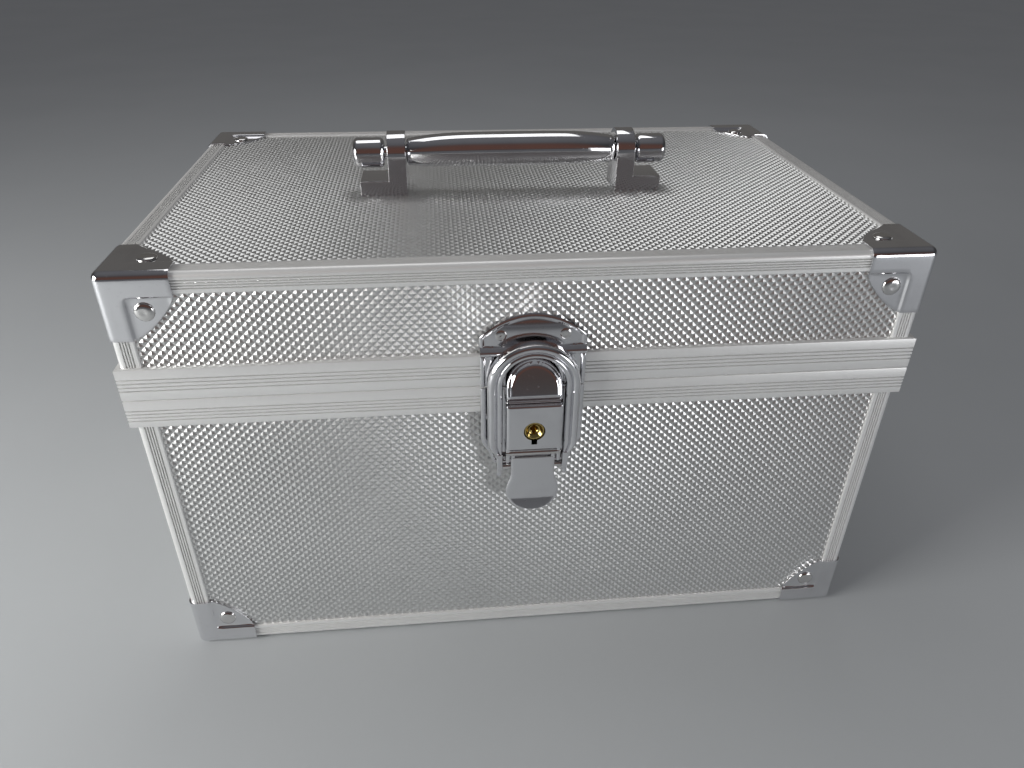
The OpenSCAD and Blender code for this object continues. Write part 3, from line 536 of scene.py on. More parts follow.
# for each wall: the turn of the skin, the axis it faces along and which way, the axis across, the axis up
FACINGS = {
    "front": ((UPRIGHT, 0, 0), 1, -1, 0, 2),
    "back": ((UPRIGHT, 0, 2 * UPRIGHT), 1, 1, 0, 2),
    "left": ((UPRIGHT, 0, -UPRIGHT), 0, -1, 1, 2),
    "right": ((UPRIGHT, 0, UPRIGHT), 0, 1, 1, 2),
    "top": ((0, 0, 0), 2, 1, 0, 1),
}
UNDER_LEG = 3.0
SKIN_LIFT = 0.01


def embossed_panel(part, facing):
    """A board with its embossed face, which runs a little way under the extrusions around it."""
    node = f"{part}_{facing}_panel"
    low, high = box_of(node)
    posts_low, posts_high = box_of(f"{part}_corner_posts")
    turn, axis, side, across, up = FACINGS[facing]
    board = slab(node + "_skin", low, high)
    place = (low + high) / 2
    place[axis] = (high if side > 0 else low)[axis] + side * SKIN_LIFT
    width = 2 * (posts_high[across] - LEG + UNDER_LEG)
    height = 2 * (posts_high[1] - LEG + UNDER_LEG)
    if up == 2:
        height = posts_high[2] - posts_low[2] + 2 * UNDER_LEG
        place[2] = (posts_low[2] + posts_high[2]) / 2
    run_tree(board, embossed_skin, {
        "Width": width * MM, "Height": height * MM, "Turn": turn, "Place": tuple(place * MM),
        "Finish": finishes["embossed_aluminium"],
    })
    return fit(board, part, "embossed_aluminium", node)


for wall in ("front", "back", "left", "right"):
    embossed_panel("base", wall)
    embossed_panel("lid", wall)
embossed_panel("lid", "top")

# %% [markdown]
# ## Ribbed extrusions
# An extrusion has one section all along its length, so each one is an outline pushed along a line. The
# outline is an angle with a rounded outside edge and a few narrow grooves. A groove is half a millimetre
# wide, but it shows as a fine dark line, and that line is what makes such a box look ribbed.

# %% Outlines
def groove_run(start, length, grooves, width=0.5, depth=0.85):
    """Points along one straight face: (distance along, depth), from start to start + length."""
    points = [(start, 0.0)]
    for middle in grooves:
        points += [(middle - width / 2, 0.0), (middle - width / 6, depth)]
        points += [(middle + width / 6, depth), (middle + width / 2, 0.0)]
    points.append((start + length, 0.0))
    return points


EDGE_R = 2.0
LEG_GROOVES = (2.7, 3.6, 4.5, 5.4)
ARC_STEPS = 6


def angle_outline():
    """Section of an edge extrusion, outside corner at the origin, legs along +a and +b."""
    tip = 0.3
    leg_a = groove_run(EDGE_R, LEG - EDGE_R - tip, LEG_GROOVES)
    leg_a += [(LEG, tip), (LEG, LEG_T), (LEG_T, LEG_T)]
    leg_b = [(b, a) for a, b in reversed(leg_a[:-1])]
    arc = []
    for k in range(1, ARC_STEPS):
        turn = math.radians(180 + 90 * k / ARC_STEPS)
        arc.append((EDGE_R + EDGE_R * math.cos(turn), EDGE_R + EDGE_R * math.sin(turn)))
    return leg_a + leg_b + arc


def outline_lengths(outline):
    """How far along the outline each point lies, for the map of drawn lines."""
    points = np.array(outline + outline[:1])
    return np.concatenate([[0], np.cumsum(np.hypot(*np.diff(points, axis=0).T))])


def tube_faces(count, rings):
    """Side faces between rings of count points each."""
    faces = []
    for r in range(rings - 1):
        here, there = r * count, (r + 1) * count
        for k in range(count):
            nxt = (k + 1) % count
            faces.append((here + k, here + nxt, there + nxt, there + k))
    return faces


def push_outline(outline, ends):
    """Points, faces and map of a bar whose section is placed by each function in ends."""
    count = len(outline)
    around = outline_lengths(outline)[:count]
    points, uvs = [], []
    first = ends[0](*outline[0])
    for place in ends:
        ring = [place(a, b) for a, b in outline]
        run = math.dist(ring[0], first)
        points += ring
        uvs += [(run * MM, distance * MM) for distance in around]
    last = (len(ends) - 1) * count
    faces = [tuple(range(count)), *tube_faces(count, len(ends)), tuple(reversed(range(last, last + count)))]
    return points, faces, uvs


def gather(name, bars):
    """One object from several (points, faces, uvs), normals outwards."""
    points, faces, uvs = [], [], []
    for bar_points, bar_faces, bar_uvs in bars:
        shift = len(points)
        points += list(bar_points)
        faces += [tuple(i + shift for i in face) for face in bar_faces]
        uvs += list(bar_uvs)
    return shade(weld(new_mesh_object(name, points, faces, uvs), 0.0001), 28)


# %% Corner posts and edge rails
def posts(node, body):
    """Four upright angle extrusions."""
    low, high = box_of(node)
    bars = []
    for sx in (-1, 1):
        for sy in (-1, 1):
            def stand(z, sx=sx, sy=sy):
                return lambda a, b: (sx * (high[0] - a), sy * (high[1] - b), z)
            bars.append(push_outline(angle_outline(), [stand(low[2]), stand(high[2])]))
    return fit(gather(node + "_ribbed", bars), body, "satin_aluminium", node)


def edge_rails(node, body, upside_down):
    """Four angle extrusions around the bottom or the top."""
    low, high = box_of(node)
    bars = []

    def level(b):
        return high[2] - b if upside_down else low[2] + b

    for s in (-1, 1):
        def along_x(x, s=s):
            return lambda a, b: (x, s * (high[1] - a), level(b))

        def along_y(y, s=s):
            return lambda a, b: (s * (high[0] - a), y, level(b))
        reach_x, reach_y = high[0] - LEG, high[1] - LEG
        bars.append(push_outline(angle_outline(), [along_x(-reach_x), along_x(reach_x)]))
        bars.append(push_outline(angle_outline(), [along_y(-reach_y), along_y(reach_y)]))
    return fit(gather(node + "_ribbed", bars), body, "satin_aluminium", node)


posts("base_corner_posts", "base")
posts("lid_corner_posts", "lid")
edge_rails("base_bottom_rails", "base", upside_down=False)
edge_rails("lid_top_rails", "lid", upside_down=True)


# %% The two halves of the rim
RIM_EDGE = 0.3
RIM_WEB = 1.2
MITRE_GAP = 0.05


def rim_face(z_from, z_to, grooves):
    """Outside face of a rim half as (distance in, height), with softened ends and grooves."""
    up = 1 if z_to > z_from else -1
    run = groove_run(RIM_EDGE, abs(z_to - z_from) - 2 * RIM_EDGE, grooves)
    points = [(RIM_EDGE, z_from), (RIM_EDGE * 0.3, z_from + up * RIM_EDGE * 0.3)]
    points += [(depth, z_from + up * distance) for distance, depth in run]
    points += [(RIM_EDGE * 0.3, z_to - up * RIM_EDGE * 0.3), (RIM_EDGE, z_to)]
    return points


def rim(node, body, outline):
    """Four mitred rails around the box."""
    low, high = box_of(node)
    half_x, half_y = high[0], high[1]
    bars = []
    for s in (-1, 1):
        def end_x(side, s=s):
            return lambda d, z: (side * (half_x - d - MITRE_GAP), s * (half_y - d), z)

        def end_y(side, s=s):
            return lambda d, z: (s * (half_x - d), side * (half_y - d - MITRE_GAP), z)
        bars.append(push_outline(outline, [end_x(-1), end_x(1)]))
        bars.append(push_outline(outline, [end_y(-1), end_y(1)]))
    return fit(gather(node + "_ribbed", bars), body, "satin_aluminium", node)


base_rim_low, base_rim_high = box_of("base_rim")
lid_rim_low, lid_rim_high = box_of("lid_rim")
SEAM_GAP = 0.3
seam_low = lid_rim_low[2] - SEAM_GAP
lid_foot = seam_low + SEAM_GAP
panel_in = box_of("base_front_panel")[1][1]
rim_depth = base_rim_high[1] + panel_in
LINING_T = 1.8
TONGUE_T = 1.2
TONGUE_SOFT = 0.4
lining_in = rim_depth + LINING_T
rim_thick = base_rim_high[1] - box_of("base_back_panel")[1][1]
RIM_GROOVES_LID = (3.6, 5.0, 6.4, 7.8)
RIM_GROOVES_BASE = (2.6, 3.9, 5.2, 6.5)
lid_rim_outline = rim_face(lid_foot, lid_rim_high[2], RIM_GROOVES_LID)
lid_rim_outline += [(rim_thick, lid_rim_high[2]), (rim_thick, lid_foot + RIM_WEB)]
lid_rim_outline += [(rim_depth, lid_foot + RIM_WEB), (rim_depth, lid_foot)]
base_rim_outline = rim_face(base_rim_low[2], seam_low, RIM_GROOVES_BASE)
tongue_top = base_rim_high[2]
base_rim_outline += [(lining_in - TONGUE_T, seam_low), (lining_in - TONGUE_T, tongue_top - TONGUE_SOFT)]
base_rim_outline += [(lining_in - TONGUE_T + TONGUE_SOFT, tongue_top), (lining_in - TONGUE_SOFT, tongue_top)]
base_rim_outline += [(lining_in, tongue_top - TONGUE_SOFT), (lining_in, base_rim_low[2])]
base_rim_outline += [(rim_depth, base_rim_low[2]), (rim_depth, seam_low - RIM_WEB)]
base_rim_outline += [(rim_thick, seam_low - RIM_WEB), (rim_thick, base_rim_low[2])]
rim("lid_rim", "lid", lid_rim_outline)
rim("base_rim", "base", base_rim_outline)
print("rim stands", round(rim_thick - LEG_T, 2), "mm proud of the extrusions")

# %% [markdown]
# ## Pressed corner caps
# A cap is one piece of sheet pressed over a corner: three arms along the edges, and between each two arms
# a web sunk down to the panel, held by a rivet. The surface is a grid on three faces of a cube. Points
# near an edge are pulled onto a rounded edge, points of a web are pushed in by a smooth step, and the
# free edge of each web follows its bow because the grid lines themselves are bent to it. A Solidify
# modifier gives the sheet its wall.

# %% Cap surface
CAP_T = 0.8
CAP_ARM = 7.8 + CAP_T
CAP_BOW = 1.6
CAP_R = 2.9
CAP_STEP = 1.0
STEP_SOFT = 0.55
STEP_CORNER = 2.2


def cap_lines(leg):
    """Grid lines from the outside corner: dense over the rounded edge and over the step."""
    rounded = [CAP_R * (1 - math.tan(math.radians(45 * (1 - k / 6)))) for k in range(7)]
    arm = list(np.linspace(CAP_R, CAP_ARM - STEP_SOFT, 5)[1:])
    step = list(np.linspace(CAP_ARM - STEP_SOFT, CAP_ARM + STEP_SOFT, 8)[1:])
    web = list(np.linspace(CAP_ARM + STEP_SOFT, leg, 12)[1:])
    return rounded + arm + step + web


def web_reach(b, leg):
    """How far the web runs along a at the distance b: up to its bowed edge."""
    if b <= CAP_ARM:
        return leg
    half_chord = (leg - CAP_ARM) / math.sqrt(2)
    radius = (half_chord ** 2 + CAP_BOW ** 2) / (2 * CAP_BOW)
    centre = CAP_ARM + (half_chord + CAP_BOW - radius) / math.sqrt(2)
    inside = max(radius ** 2 - (b - centre) ** 2, 0)
    return max(CAP_ARM, centre + math.sqrt(inside))


def smooth_step(x):
    """0 below 0, 1 above 1, smooth between."""
    x = min(max(x, 0.0), 1.0)
    return x * x * (3 - 2 * x)


def sink_at(a, b):
    """How deep the web is pressed in at a point, 0 on the arms."""
    past_a = a - CAP_ARM + STEP_SOFT
    past_b = b - CAP_ARM + STEP_SOFT
    if min(past_a, past_b) <= 0:
        return 0.0
    corner = math.hypot(max(STEP_CORNER - past_a, 0), max(STEP_CORNER - past_b, 0))
    inside = STEP_CORNER - corner if corner > 0 else min(past_a, past_b)
    return CAP_STEP * smooth_step(min(inside, min(past_a, past_b)) / (2 * STEP_SOFT))


def cap_face(leg):
    """Points and faces of one face of a cap, outside corner at the origin, face normal along -c."""
    lines = cap_lines(leg)
    n = len(lines)
    points = []
    for b in lines:
        for a in lines:
            if a > CAP_ARM:
                a = CAP_ARM + (a - CAP_ARM) * (web_reach(b, leg) - CAP_ARM) / (leg - CAP_ARM)
            flat = np.array([a, b, 0.0])
            middle = np.maximum(flat, CAP_R)
            out = flat - middle
            on = middle + out / np.linalg.norm(out) * CAP_R
            on[2] += sink_at(a, b)
            points.append(on)
    faces = [(j * n + i, (j + 1) * n + i, (j + 1) * n + i + 1, j * n + i + 1)
             for j in range(n - 1) for i in range(n - 1)]
    return points, faces


def corner_cap(corner, inward, leg):
    """A cap at a corner of its box; inward holds the direction of the box along each axis."""
    points, faces = cap_face(leg)
    all_points, all_faces = [], []
    flip = inward[0] * inward[1] * inward[2] < 0
    for order in ((0, 1, 2), (2, 0, 1), (1, 2, 0)):
        shift = len(all_points)
        for p in points:
            turned = np.array([p[order[0]], p[order[1]], p[order[2]]])
            all_points.append(np.array(corner) + np.array(inward) * turned)
        for face in faces:
            face = tuple(i + shift for i in face)
            all_faces.append(tuple(reversed(face)) if flip else face)
    return all_points, all_faces


def corner_caps(node, body, top):
    """Four pressed caps at the top or bottom corners."""
    low, high = box_of(node)
    leg = high[2] - low[2]
    points, faces = [], []
    for sx in (-1, 1):
        for sy in (-1, 1):
            corner = (sx * high[0], sy * high[1], high[2] if top else low[2])
            cap_points, cap_faces = corner_cap(corner, (-sx, -sy, -1 if top else 1), leg)
            faces += [tuple(i + len(points) for i in face) for face in cap_faces]
            points += cap_points
    caps = weld(new_mesh_object(node + "_pressed", points, faces), 0.01, outwards=False)
    give_thickness(caps, CAP_T - 0.03, bevel=0.18)
    return fit(shade(caps, 40), body, "chrome", node)


corner_caps("base_corner_caps", "base", top=False)
corner_caps("lid_corner_caps", "lid", top=True)

# %% [markdown]
# ## Rivets
# The same domed head sits in twenty places on the caps, on the latch plates and on the hinges. A short
# profile is turned into one head, and Geometry Nodes sets a copy on every point, standing along that
# point's own direction.

# %% Turned shapes
def lathe(profile, sides=32):
    """Points and faces of a profile [(radius, height)] turned about Z; a radius of 0 closes to a point."""
    points = []
    for radius, height in profile:
        for k in range(sides):
            turn = 2 * math.pi * k / sides
            points.append((radius * math.cos(turn), radius * math.sin(turn), height))
    return points, tube_faces(sides, len(profile))


def placed(points, turn, place):
    """Points turned by a 3x3 matrix and moved."""
    return [tuple(np.array(turn) @ np.array(p) + np.array(place)) for p in points]


def head_profile(radius, height, rim=0.12, dimple=0.22):
    """A domed head: short skirt, dome, and a shallow dimple left by the riveting punch."""
    profile = [(0, 0), (radius, 0), (radius, rim * height)]
    steps = 9
    for k in range(1, steps + 1):
        turn = math.radians(90 * k / steps)
        radial = radius * math.cos(turn)
        sunk = dimple * height * math.exp(-(radial / (0.34 * radius)) ** 2)
        profile.append((radial, height * (rim + (1 - rim) * math.sin(turn)) - sunk))
    return profile


def rivet_tree():
    """A copy of the head on every point, turned to the point's own facing."""
    tree = geometry_tree("rivets_on_points", [
        ("Head", "NodeSocketObject", None), ("Size", "NodeSocketFloat", 1.0),
        ("Finish", "NodeSocketMaterial", None),
    ])
    head = tree.add("GeometryNodeObjectInfo", None, {"Object": tree.inputs.out("Head"), "As Instance": True})
    facing = tree.add("GeometryNodeInputNamedAttribute", {"data_type": "FLOAT_VECTOR"}, {"Name": "facing"})
    turn = tree.add("FunctionNodeAlignRotationToVector", {"axis": "Z"}, {"Vector": facing})
    heads = tree.add("GeometryNodeInstanceOnPoints", None, {
        "Points": tree.inputs, "Instance": head.out("Geometry"), "Rotation": turn,
        "Scale": tree.inputs.out("Size"),
    })
    return finish_tree(tree, heads)


rivets_on_points = rivet_tree()


def rivets(node, body, slot_name, head_size, spots):
    """Rivet heads at [(place, facing)] in mm, in place of a CAD node."""
    head = shade(weld(new_mesh_object("head_pattern", *lathe(head_profile(*head_size)))), 40)
    points = new_mesh_object(node + "_heads", [place for place, facing in spots], [])
    facings = points.data.attributes.new("facing", "FLOAT_VECTOR", "POINT")
    facings.data.foreach_set("vector", np.array([facing for place, facing in spots], float).ravel())
    run_tree(points, rivets_on_points, {"Head": head, "Finish": finishes[slot_name]})
    bpy.data.objects.remove(head)
    return fit(points, body, slot_name, node)


RIVET_IN = 12.8
# radius and height of each kind of head
CAP_HEAD = (3.2, 1.2)
HINGE_HEAD = (2.0, 0.9)
CATCH_HEAD = (2.8, 1.4)
PLATE_HEAD = (2.2, 0.9)


def cap_rivet_spots(node, top):
    """Where the cap rivets stand: on both sides of each corner, and on the top face of the lid caps."""
    low, high = box_of(node)
    face_x, face_y = box_of("lid_corner_posts")[1][:2]
    spots = []
    level = high[2] - CAP_T - RIVET_IN if top else low[2] + CAP_T + RIVET_IN
    face_sink = CAP_STEP - CAP_T
    for sx in (-1, 1):
        for sy in (-1, 1):
            spots.append(((sx * (face_x - RIVET_IN), sy * (face_y - face_sink), level), (0, sy, 0)))
            spots.append(((sx * (face_x - face_sink), sy * (face_y - RIVET_IN), level), (sx, 0, 0)))
            if top:
                place = (sx * (face_x - RIVET_IN), sy * (face_y - RIVET_IN), high[2] - CAP_T - face_sink)
                spots.append((place, (0, 0, 1)))
    return spots


rivets("lid_cap_rivets", "lid", "rivet_steel", CAP_HEAD, cap_rivet_spots("lid_corner_caps", True))
rivets("base_cap_rivets", "base", "rivet_steel", CAP_HEAD, cap_rivet_spots("base_corner_caps", False))

HINGE_W = 44
hinge_high = box_of("hinge_lower_leaves")[1]
leaf_y = box_of("hinge_lower_rivets")[0][1]
for node, body in (("hinge_lower_rivets", "base"), ("hinge_upper_rivets", "lid")):
    low, high = box_of(node)
    level = (low[2] + high[2]) / 2
    hinge_middle = hinge_high[0] - HINGE_W / 2
    places = [(s * hinge_middle + k * HINGE_W / 3, leaf_y, level) for s in (-1, 1) for k in (-1, 0, 1)]
    spots = [(place, (0, 1, 0)) for place in places]
    rivets(node, body, "hinge_steel", HINGE_HEAD, spots)

FRONT_RIVETS = (("catch_rivets", "lid", CATCH_HEAD), ("latch_plate_rivets", "base", PLATE_HEAD))
for node, body, head_size in FRONT_RIVETS:
    low, high = box_of(node)
    middle_x = high[0] - head_size[0]
    spots = [((s * middle_x, high[1], (low[2] + high[2]) / 2), (0, -1, 0)) for s in (-1, 1)]
    rivets(node, body, "rivet_steel", head_size, spots)

# %% [markdown]
# ## Keeping a CAD shape, with its edges rounded
# Many small parts already have the right shape: arms, brackets, pins, hinge leaves, dividers. What gives
# a CAD shape away is its razor edges, which catch no light. So these parts are copied, their loose
# triangles welded into flat faces, and a Bevel modifier rounds the edges. The CAD node itself is left
# alone.

# %% Rounded copies
def rounded_copy(node, body, slot_name, width=0.3, segments=2, crease=35):
    """A CAD node's shape with its edges rounded, in place of the node."""
    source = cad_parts[node].data
    points = [tuple(v.co / MM) for v in source.vertices]
    faces = [tuple(p.vertices) for p in source.polygons]
    copy = weld(new_mesh_object(node + "_rounded", points, faces), 0.002)
    work = bmesh.new()
    work.from_mesh(copy.data)
    bmesh.ops.dissolve_limit(work, angle_limit=math.radians(0.5), verts=work.verts, edges=work.edges)
    work.to_mesh(copy.data)
    work.free()
    round_edges(copy, width, segments, crease)
    return fit(shade(copy), body, slot_name, node)


# %% [markdown]
# ## The draw latch
# The latch is the piece that the eye goes to. Its parts are pressed and plated, so each one is drawn as a
# relief: a grid across the part, with a height that follows its beads, steps and domes. The plates get
# their wall from Solidify, the housing is closed towards the back, and the bail is a ribbed section
# pushed along an arch.

# %% Reliefs
def relief(name, columns, rows, place):
    """A grid surface: place(column, row) gives a point in mm."""
    points = [place(c, r) for r in rows for c in columns]
    n = len(columns)
    faces = [(r * n + c, r * n + c + 1, (r + 1) * n + c + 1, (r + 1) * n + c)
             for r in range(len(rows) - 1) for c in range(n - 1)]
    return new_mesh_object(name, points, faces)


def even(start, stop, count):
    """Evenly spaced values, both ends included."""
    return list(np.linspace(start, stop, count))


def crowded(count):
    """Places from -1 to 1 that crowd towards both ends."""
    return [math.sin(math.pi / 2 * t) for t in np.linspace(-1, 1, count)]


def round_drop(distance, radius):
    """How far a rounded edge falls back at a distance from the edge."""
    if distance >= radius:
        return 0.0
    inside = radius - max(distance, 0.0)
    return radius - math.sqrt(max(radius ** 2 - inside ** 2, 0.0))


def bead(at, middle, half):
    """Height from 0 to 1 of a round bead across a line."""
    off = (at - middle) / half
    return math.sqrt(max(1 - off * off, 0.0))


def close_behind(piece, back_y):
    """Extrudes the rim of a relief back to a plane and closes it there."""
    work = bmesh.new()
    work.from_mesh(piece.data)
    bmesh.ops.remove_doubles(work, verts=work.verts, dist=0.004 * MM)
    rim_edges = [e for e in work.edges if e.is_boundary]
    new_rim = bmesh.ops.extrude_edge_only(work, edges=rim_edges)["geom"]
    for v in (g for g in new_rim if isinstance(g, bmesh.types.BMVert)):
        v.co.y = back_y * MM
    back = [e for e in new_rim if isinstance(e, bmesh.types.BMEdge) and e.is_boundary]
    bmesh.ops.contextual_create(work, geom=back)
    bmesh.ops.recalc_face_normals(work, faces=work.faces)
    work.to_mesh(piece.data)
    work.free()
    return piece


def join_into(piece, *others):
    """Adds other meshes to a piece as further shells."""
    work = bmesh.new()
    work.from_mesh(piece.data)
    for other in others:
        work.from_mesh(other.data)
        bpy.data.objects.remove(other)
    work.to_mesh(piece.data)
    work.free()
    return piece


def cut_out(piece, *cutters):
    """Cuts closed shapes out of a closed piece."""
    for cutter in cutters:
        boolean = piece.modifiers.new("cut", "BOOLEAN")
        boolean.operation = "DIFFERENCE"
        boolean.solver = "EXACT"
        boolean.object = cutter
        bake_modifiers(piece)
        bpy.data.objects.remove(cutter)
    return piece


FORWARD = ((1, 0, 0), (0, 0, -1), (0, 1, 0))
SIDEWAYS = ((0, 0, 1), (0, 1, 0), (-1, 0, 0))


def turned(name, profile, axis, place, sides=40):
    """A closed turned piece. FORWARD points its height along -Y, SIDEWAYS along +X."""
    points, faces = lathe(profile, sides)
    return weld(new_mesh_object(name, placed(points, axis, place), faces))


# %% Lock housing
housing_low, housing_high = box_of("lock_housing")
HOUSING_HALF = housing_high[0]
HOUSING_DEPTH = housing_high[1] - housing_low[1]
housing_back = housing_high[1]
dome_z = housing_high[2] - HOUSING_HALF
BLOCK_LOW, BLOCK_HIGH = dome_z - 24.2, dome_z - 5.6
NECK_HIGH = dome_z - 4.2
DOME_BROW = 1.5
DOME_SLOPE = 0.34
DOME_SUNK = 1.1
BLOCK_ROUND = 1.1
NECK_SUNK = 2.0
NECK_IN = 0.9
LENS_IN = 1.3
LENS_RISE = 0.9
LATCH_WALL = 1.4
KEY_HOLE_R = 3.75
key_z = (box_of("lock_cylinder")[0][2] + box_of("lock_cylinder")[1][2]) / 2


def housing_half(z):
    """Half width of the housing: straight block, narrow neck, round top."""
    if z > dome_z:
        return math.sqrt(max(HOUSING_HALF ** 2 - (z - dome_z) ** 2, 0))
    neck = smooth_step((z - BLOCK_HIGH) / 0.4) * smooth_step((NECK_HIGH - z) / 0.4)
    return HOUSING_HALF - NECK_IN * neck


def housing_depth(x, z):
    """Height of the housing's front over its back plane."""
    side = HOUSING_HALF - math.hypot(x, max(z - dome_z, 0))
    if z <= BLOCK_HIGH:
        edge = min(side, BLOCK_HIGH - z, z - BLOCK_LOW)
        return HOUSING_DEPTH - round_drop(edge, BLOCK_ROUND)
    if z < NECK_HIGH:
        roll = bead(z, (BLOCK_HIGH + NECK_HIGH) / 2, 0.5)
        return HOUSING_DEPTH - NECK_SUNK + 0.9 * roll - 0.8 * round_drop(side, 1.4)
    lean = DOME_SLOPE * max(z - NECK_HIGH - DOME_BROW, 0.0)
    brow = round_drop(min(side, z - NECK_HIGH), DOME_BROW)
    lens_edge = min(side - LENS_IN, z - NECK_HIGH - DOME_BROW)
    lens = LENS_RISE - round_drop(lens_edge, LENS_RISE) if lens_edge > 0 else 0.0
    return HOUSING_DEPTH - DOME_SUNK - lean - brow + lens


housing_rows = even(BLOCK_LOW, BLOCK_LOW + 1.1, 6) + even(BLOCK_LOW + 2.2, BLOCK_HIGH - 2.2, 10)
housing_rows += even(BLOCK_HIGH - 1.1, BLOCK_HIGH, 7) + even(BLOCK_HIGH + 0.06, NECK_HIGH - 0.06, 13)
housing_rows += even(NECK_HIGH, NECK_HIGH + 3.0, 16)[:-1]
dome_rise = dome_z + HOUSING_HALF - NECK_HIGH - 3.0
housing_rows += [NECK_HIGH + 3.0 + dome_rise * math.sin(math.pi / 2 * t) for t in even(0, 1, 26)]


def housing_point(c, z):
    """A point of the housing's front at the share c of its half width."""
    x = c * housing_half(z)
    return (x, housing_back - housing_depth(x, z), z)


housing = relief("lock_housing_pressed", crowded(49), housing_rows, housing_point)
close_behind(housing, housing_back)
hole = [(0, 0), (KEY_HOLE_R, 0), (KEY_HOLE_R, 9), (0, 9)]
key_hole = turned("key_hole", hole, FORWARD, (0, housing_back - 2, key_z), 48)
key_slot = slab("key_slot", (-1.0, housing_low[1] - 1, key_z - 5.4), (1.0, housing_low[1] + 6, key_z - 2.6))
cut_out(housing, key_hole, key_slot)
cheek_high = BLOCK_LOW + 1
cheeks = []
for s in (-1, 1):
    inner, outer = sorted((s * (HOUSING_HALF - LATCH_WALL), s * HOUSING_HALF))
    cheek = slab("cheek", (inner, housing_low[1] + 1.6, housing_low[2]), (outer, housing_back, cheek_high))
    cheeks.append(round_edges(cheek, 0.5, 3))
join_into(housing, *cheeks)
fit(shade(housing, 32), "base", "chrome", "lock_housing")

# %% Lock cylinder: a dished brass plug with a key slot
cylinder_low, cylinder_high = box_of("lock_cylinder")
plug_len = cylinder_high[1] - cylinder_low[1]
PLUG_R = 3.6
DISH_R = 2.95
dish = [(0, 0), (PLUG_R, 0), (PLUG_R, plug_len - 0.35), (PLUG_R - 0.25, plug_len), (DISH_R, plug_len)]
dish += [(DISH_R - 1.45 * t, plug_len - 1.3 * math.sin(math.pi / 2 * t)) for t in even(0.1, 1, 8)]
dish += [(1.3, plug_len - 1.5), (1.25, 1.5), (0, 1.5)]
plug = turned("lock_cylinder_dished", dish, FORWARD, (0, cylinder_high[1], key_z), 48)
key_way = slab("key_way", (-0.5, cylinder_low[1] - 1, key_z - 2.1), (0.5, cylinder_low[1] + 4, key_z + 2.1))
cut_out(plug, key_way)
fit(shade(plug, 32), "lock", "brass", "lock_cylinder")

# %% Catch plate on the lid
catch_low, catch_high = box_of("catch_plate")
CATCH_HALF = catch_high[0]
plate_front = box_of("latch_base_plate")[0][1]
bar_low = box_of("lid_rim")[1][2]
BOW = 7.8
BAR_H = 3.0
PLATE_T = 0.8
PLATE_SOFT = 0.15
NIB_HALF = 5


def catch_top(x):
    """Bowed upper edge of the plate."""
    bow_r = (CATCH_HALF ** 2 + BOW ** 2) / (2 * BOW)
    return catch_high[2] - bow_r + math.sqrt(bow_r ** 2 - x * x)


def catch_point(c, r):
    """c runs across from -1 to 1; r is 0 to 1 in front of the rim, 1 to 2 on the bar, 2 to 3 above it."""
    x = c * CATCH_HALF
    side = CATCH_HALF - abs(x)
    if r <= 1:
        z = catch_low[2] + (bar_low - catch_low[2]) * r
        curl = 0.55 * bead(min(side, 1.6), 0.8, 0.8)
        return (x, plate_front + 0.25 - curl, z)
    if r <= 2:
        z = bar_low + BAR_H * (r - 1)
        roll = bead(r, 1.5, 0.5)
        back = smooth_step((r - 1.4) * 1.7)
        return (x, plate_front + 0.25 - 0.75 * roll + 0.9 * back, z)
    top = catch_top(x)
    low = bar_low + BAR_H
    z = low + (top - low) * (r - 2)
    border = min(side, (top - z) * 0.9)
    rise = (z - low) / (catch_high[2] - low)
    pillow = 2.3 * rise ** 3 + 0.5 * (x / CATCH_HALF) ** 4
    rim_bead = 0.45 * bead(min(border, 1.4), 0.6, 0.8)
    return (x, plate_front + 1.15 + pillow - rim_bead, z)


catch_rows = even(0, 1, 8) + even(1.06, 2, 15) + even(2.08, 3, 22)
catch = relief("catch_plate_pressed", crowded(57), catch_rows, catch_point)
give_thickness(catch, PLATE_T, bevel=PLATE_SOFT)
nib = slab("nib", (-NIB_HALF, plate_front - 1, bar_low + 1.0), (NIB_HALF, plate_front + 1.4, bar_low + 3.6))
join_into(catch, round_edges(nib, 0.35, 3))
fit(shade(catch, 38), "lid", "chrome", "catch_plate")

# %% Base plate behind the latch
plate_low, plate_high = box_of("latch_base_plate")
PLATE_TAPER = 11.0
SHANK = 3.4
TOE_R = 3.0
PAD_HALF = 11


def plate_half(z):
    """Half width: full down to the taper, drawn in to the shank, and rounded at the toe."""
    drawn = SHANK * smooth_step((plate_low[2] + PLATE_TAPER - z) / (PLATE_TAPER - TOE_R))
    return plate_high[0] - drawn - round_drop(z - plate_low[2], TOE_R)


def plate_point(c, z):
    """A point of the base plate, with its edge curled forward."""
    half = plate_half(z)
    x = c * half
    side = min(half - abs(x), z - plate_low[2])
    curl = 0.6 * bead(min(side, 2.0), 1.0, 1.0)
    return (x, plate_front + 0.3 - curl, z)


plate_rows = even(plate_low[2], plate_low[2] + 2.4, 9) + even(plate_low[2] + 3.2, plate_high[2], 22)
base_plate = relief("latch_plate_pressed", crowded(41), plate_rows, plate_point)
give_thickness(base_plate, PLATE_T, bevel=PLATE_SOFT)
pad_top = (PAD_HALF, plate_high[1], base_rim_low[2])
pad = slab("pad", (-PAD_HALF, plate_front + 1, plate_low[2] + 2), pad_top)
join_into(base_plate, round_edges(pad, 0.4))
fit(shade(base_plate, 38), "base", "chrome", "latch_base_plate")

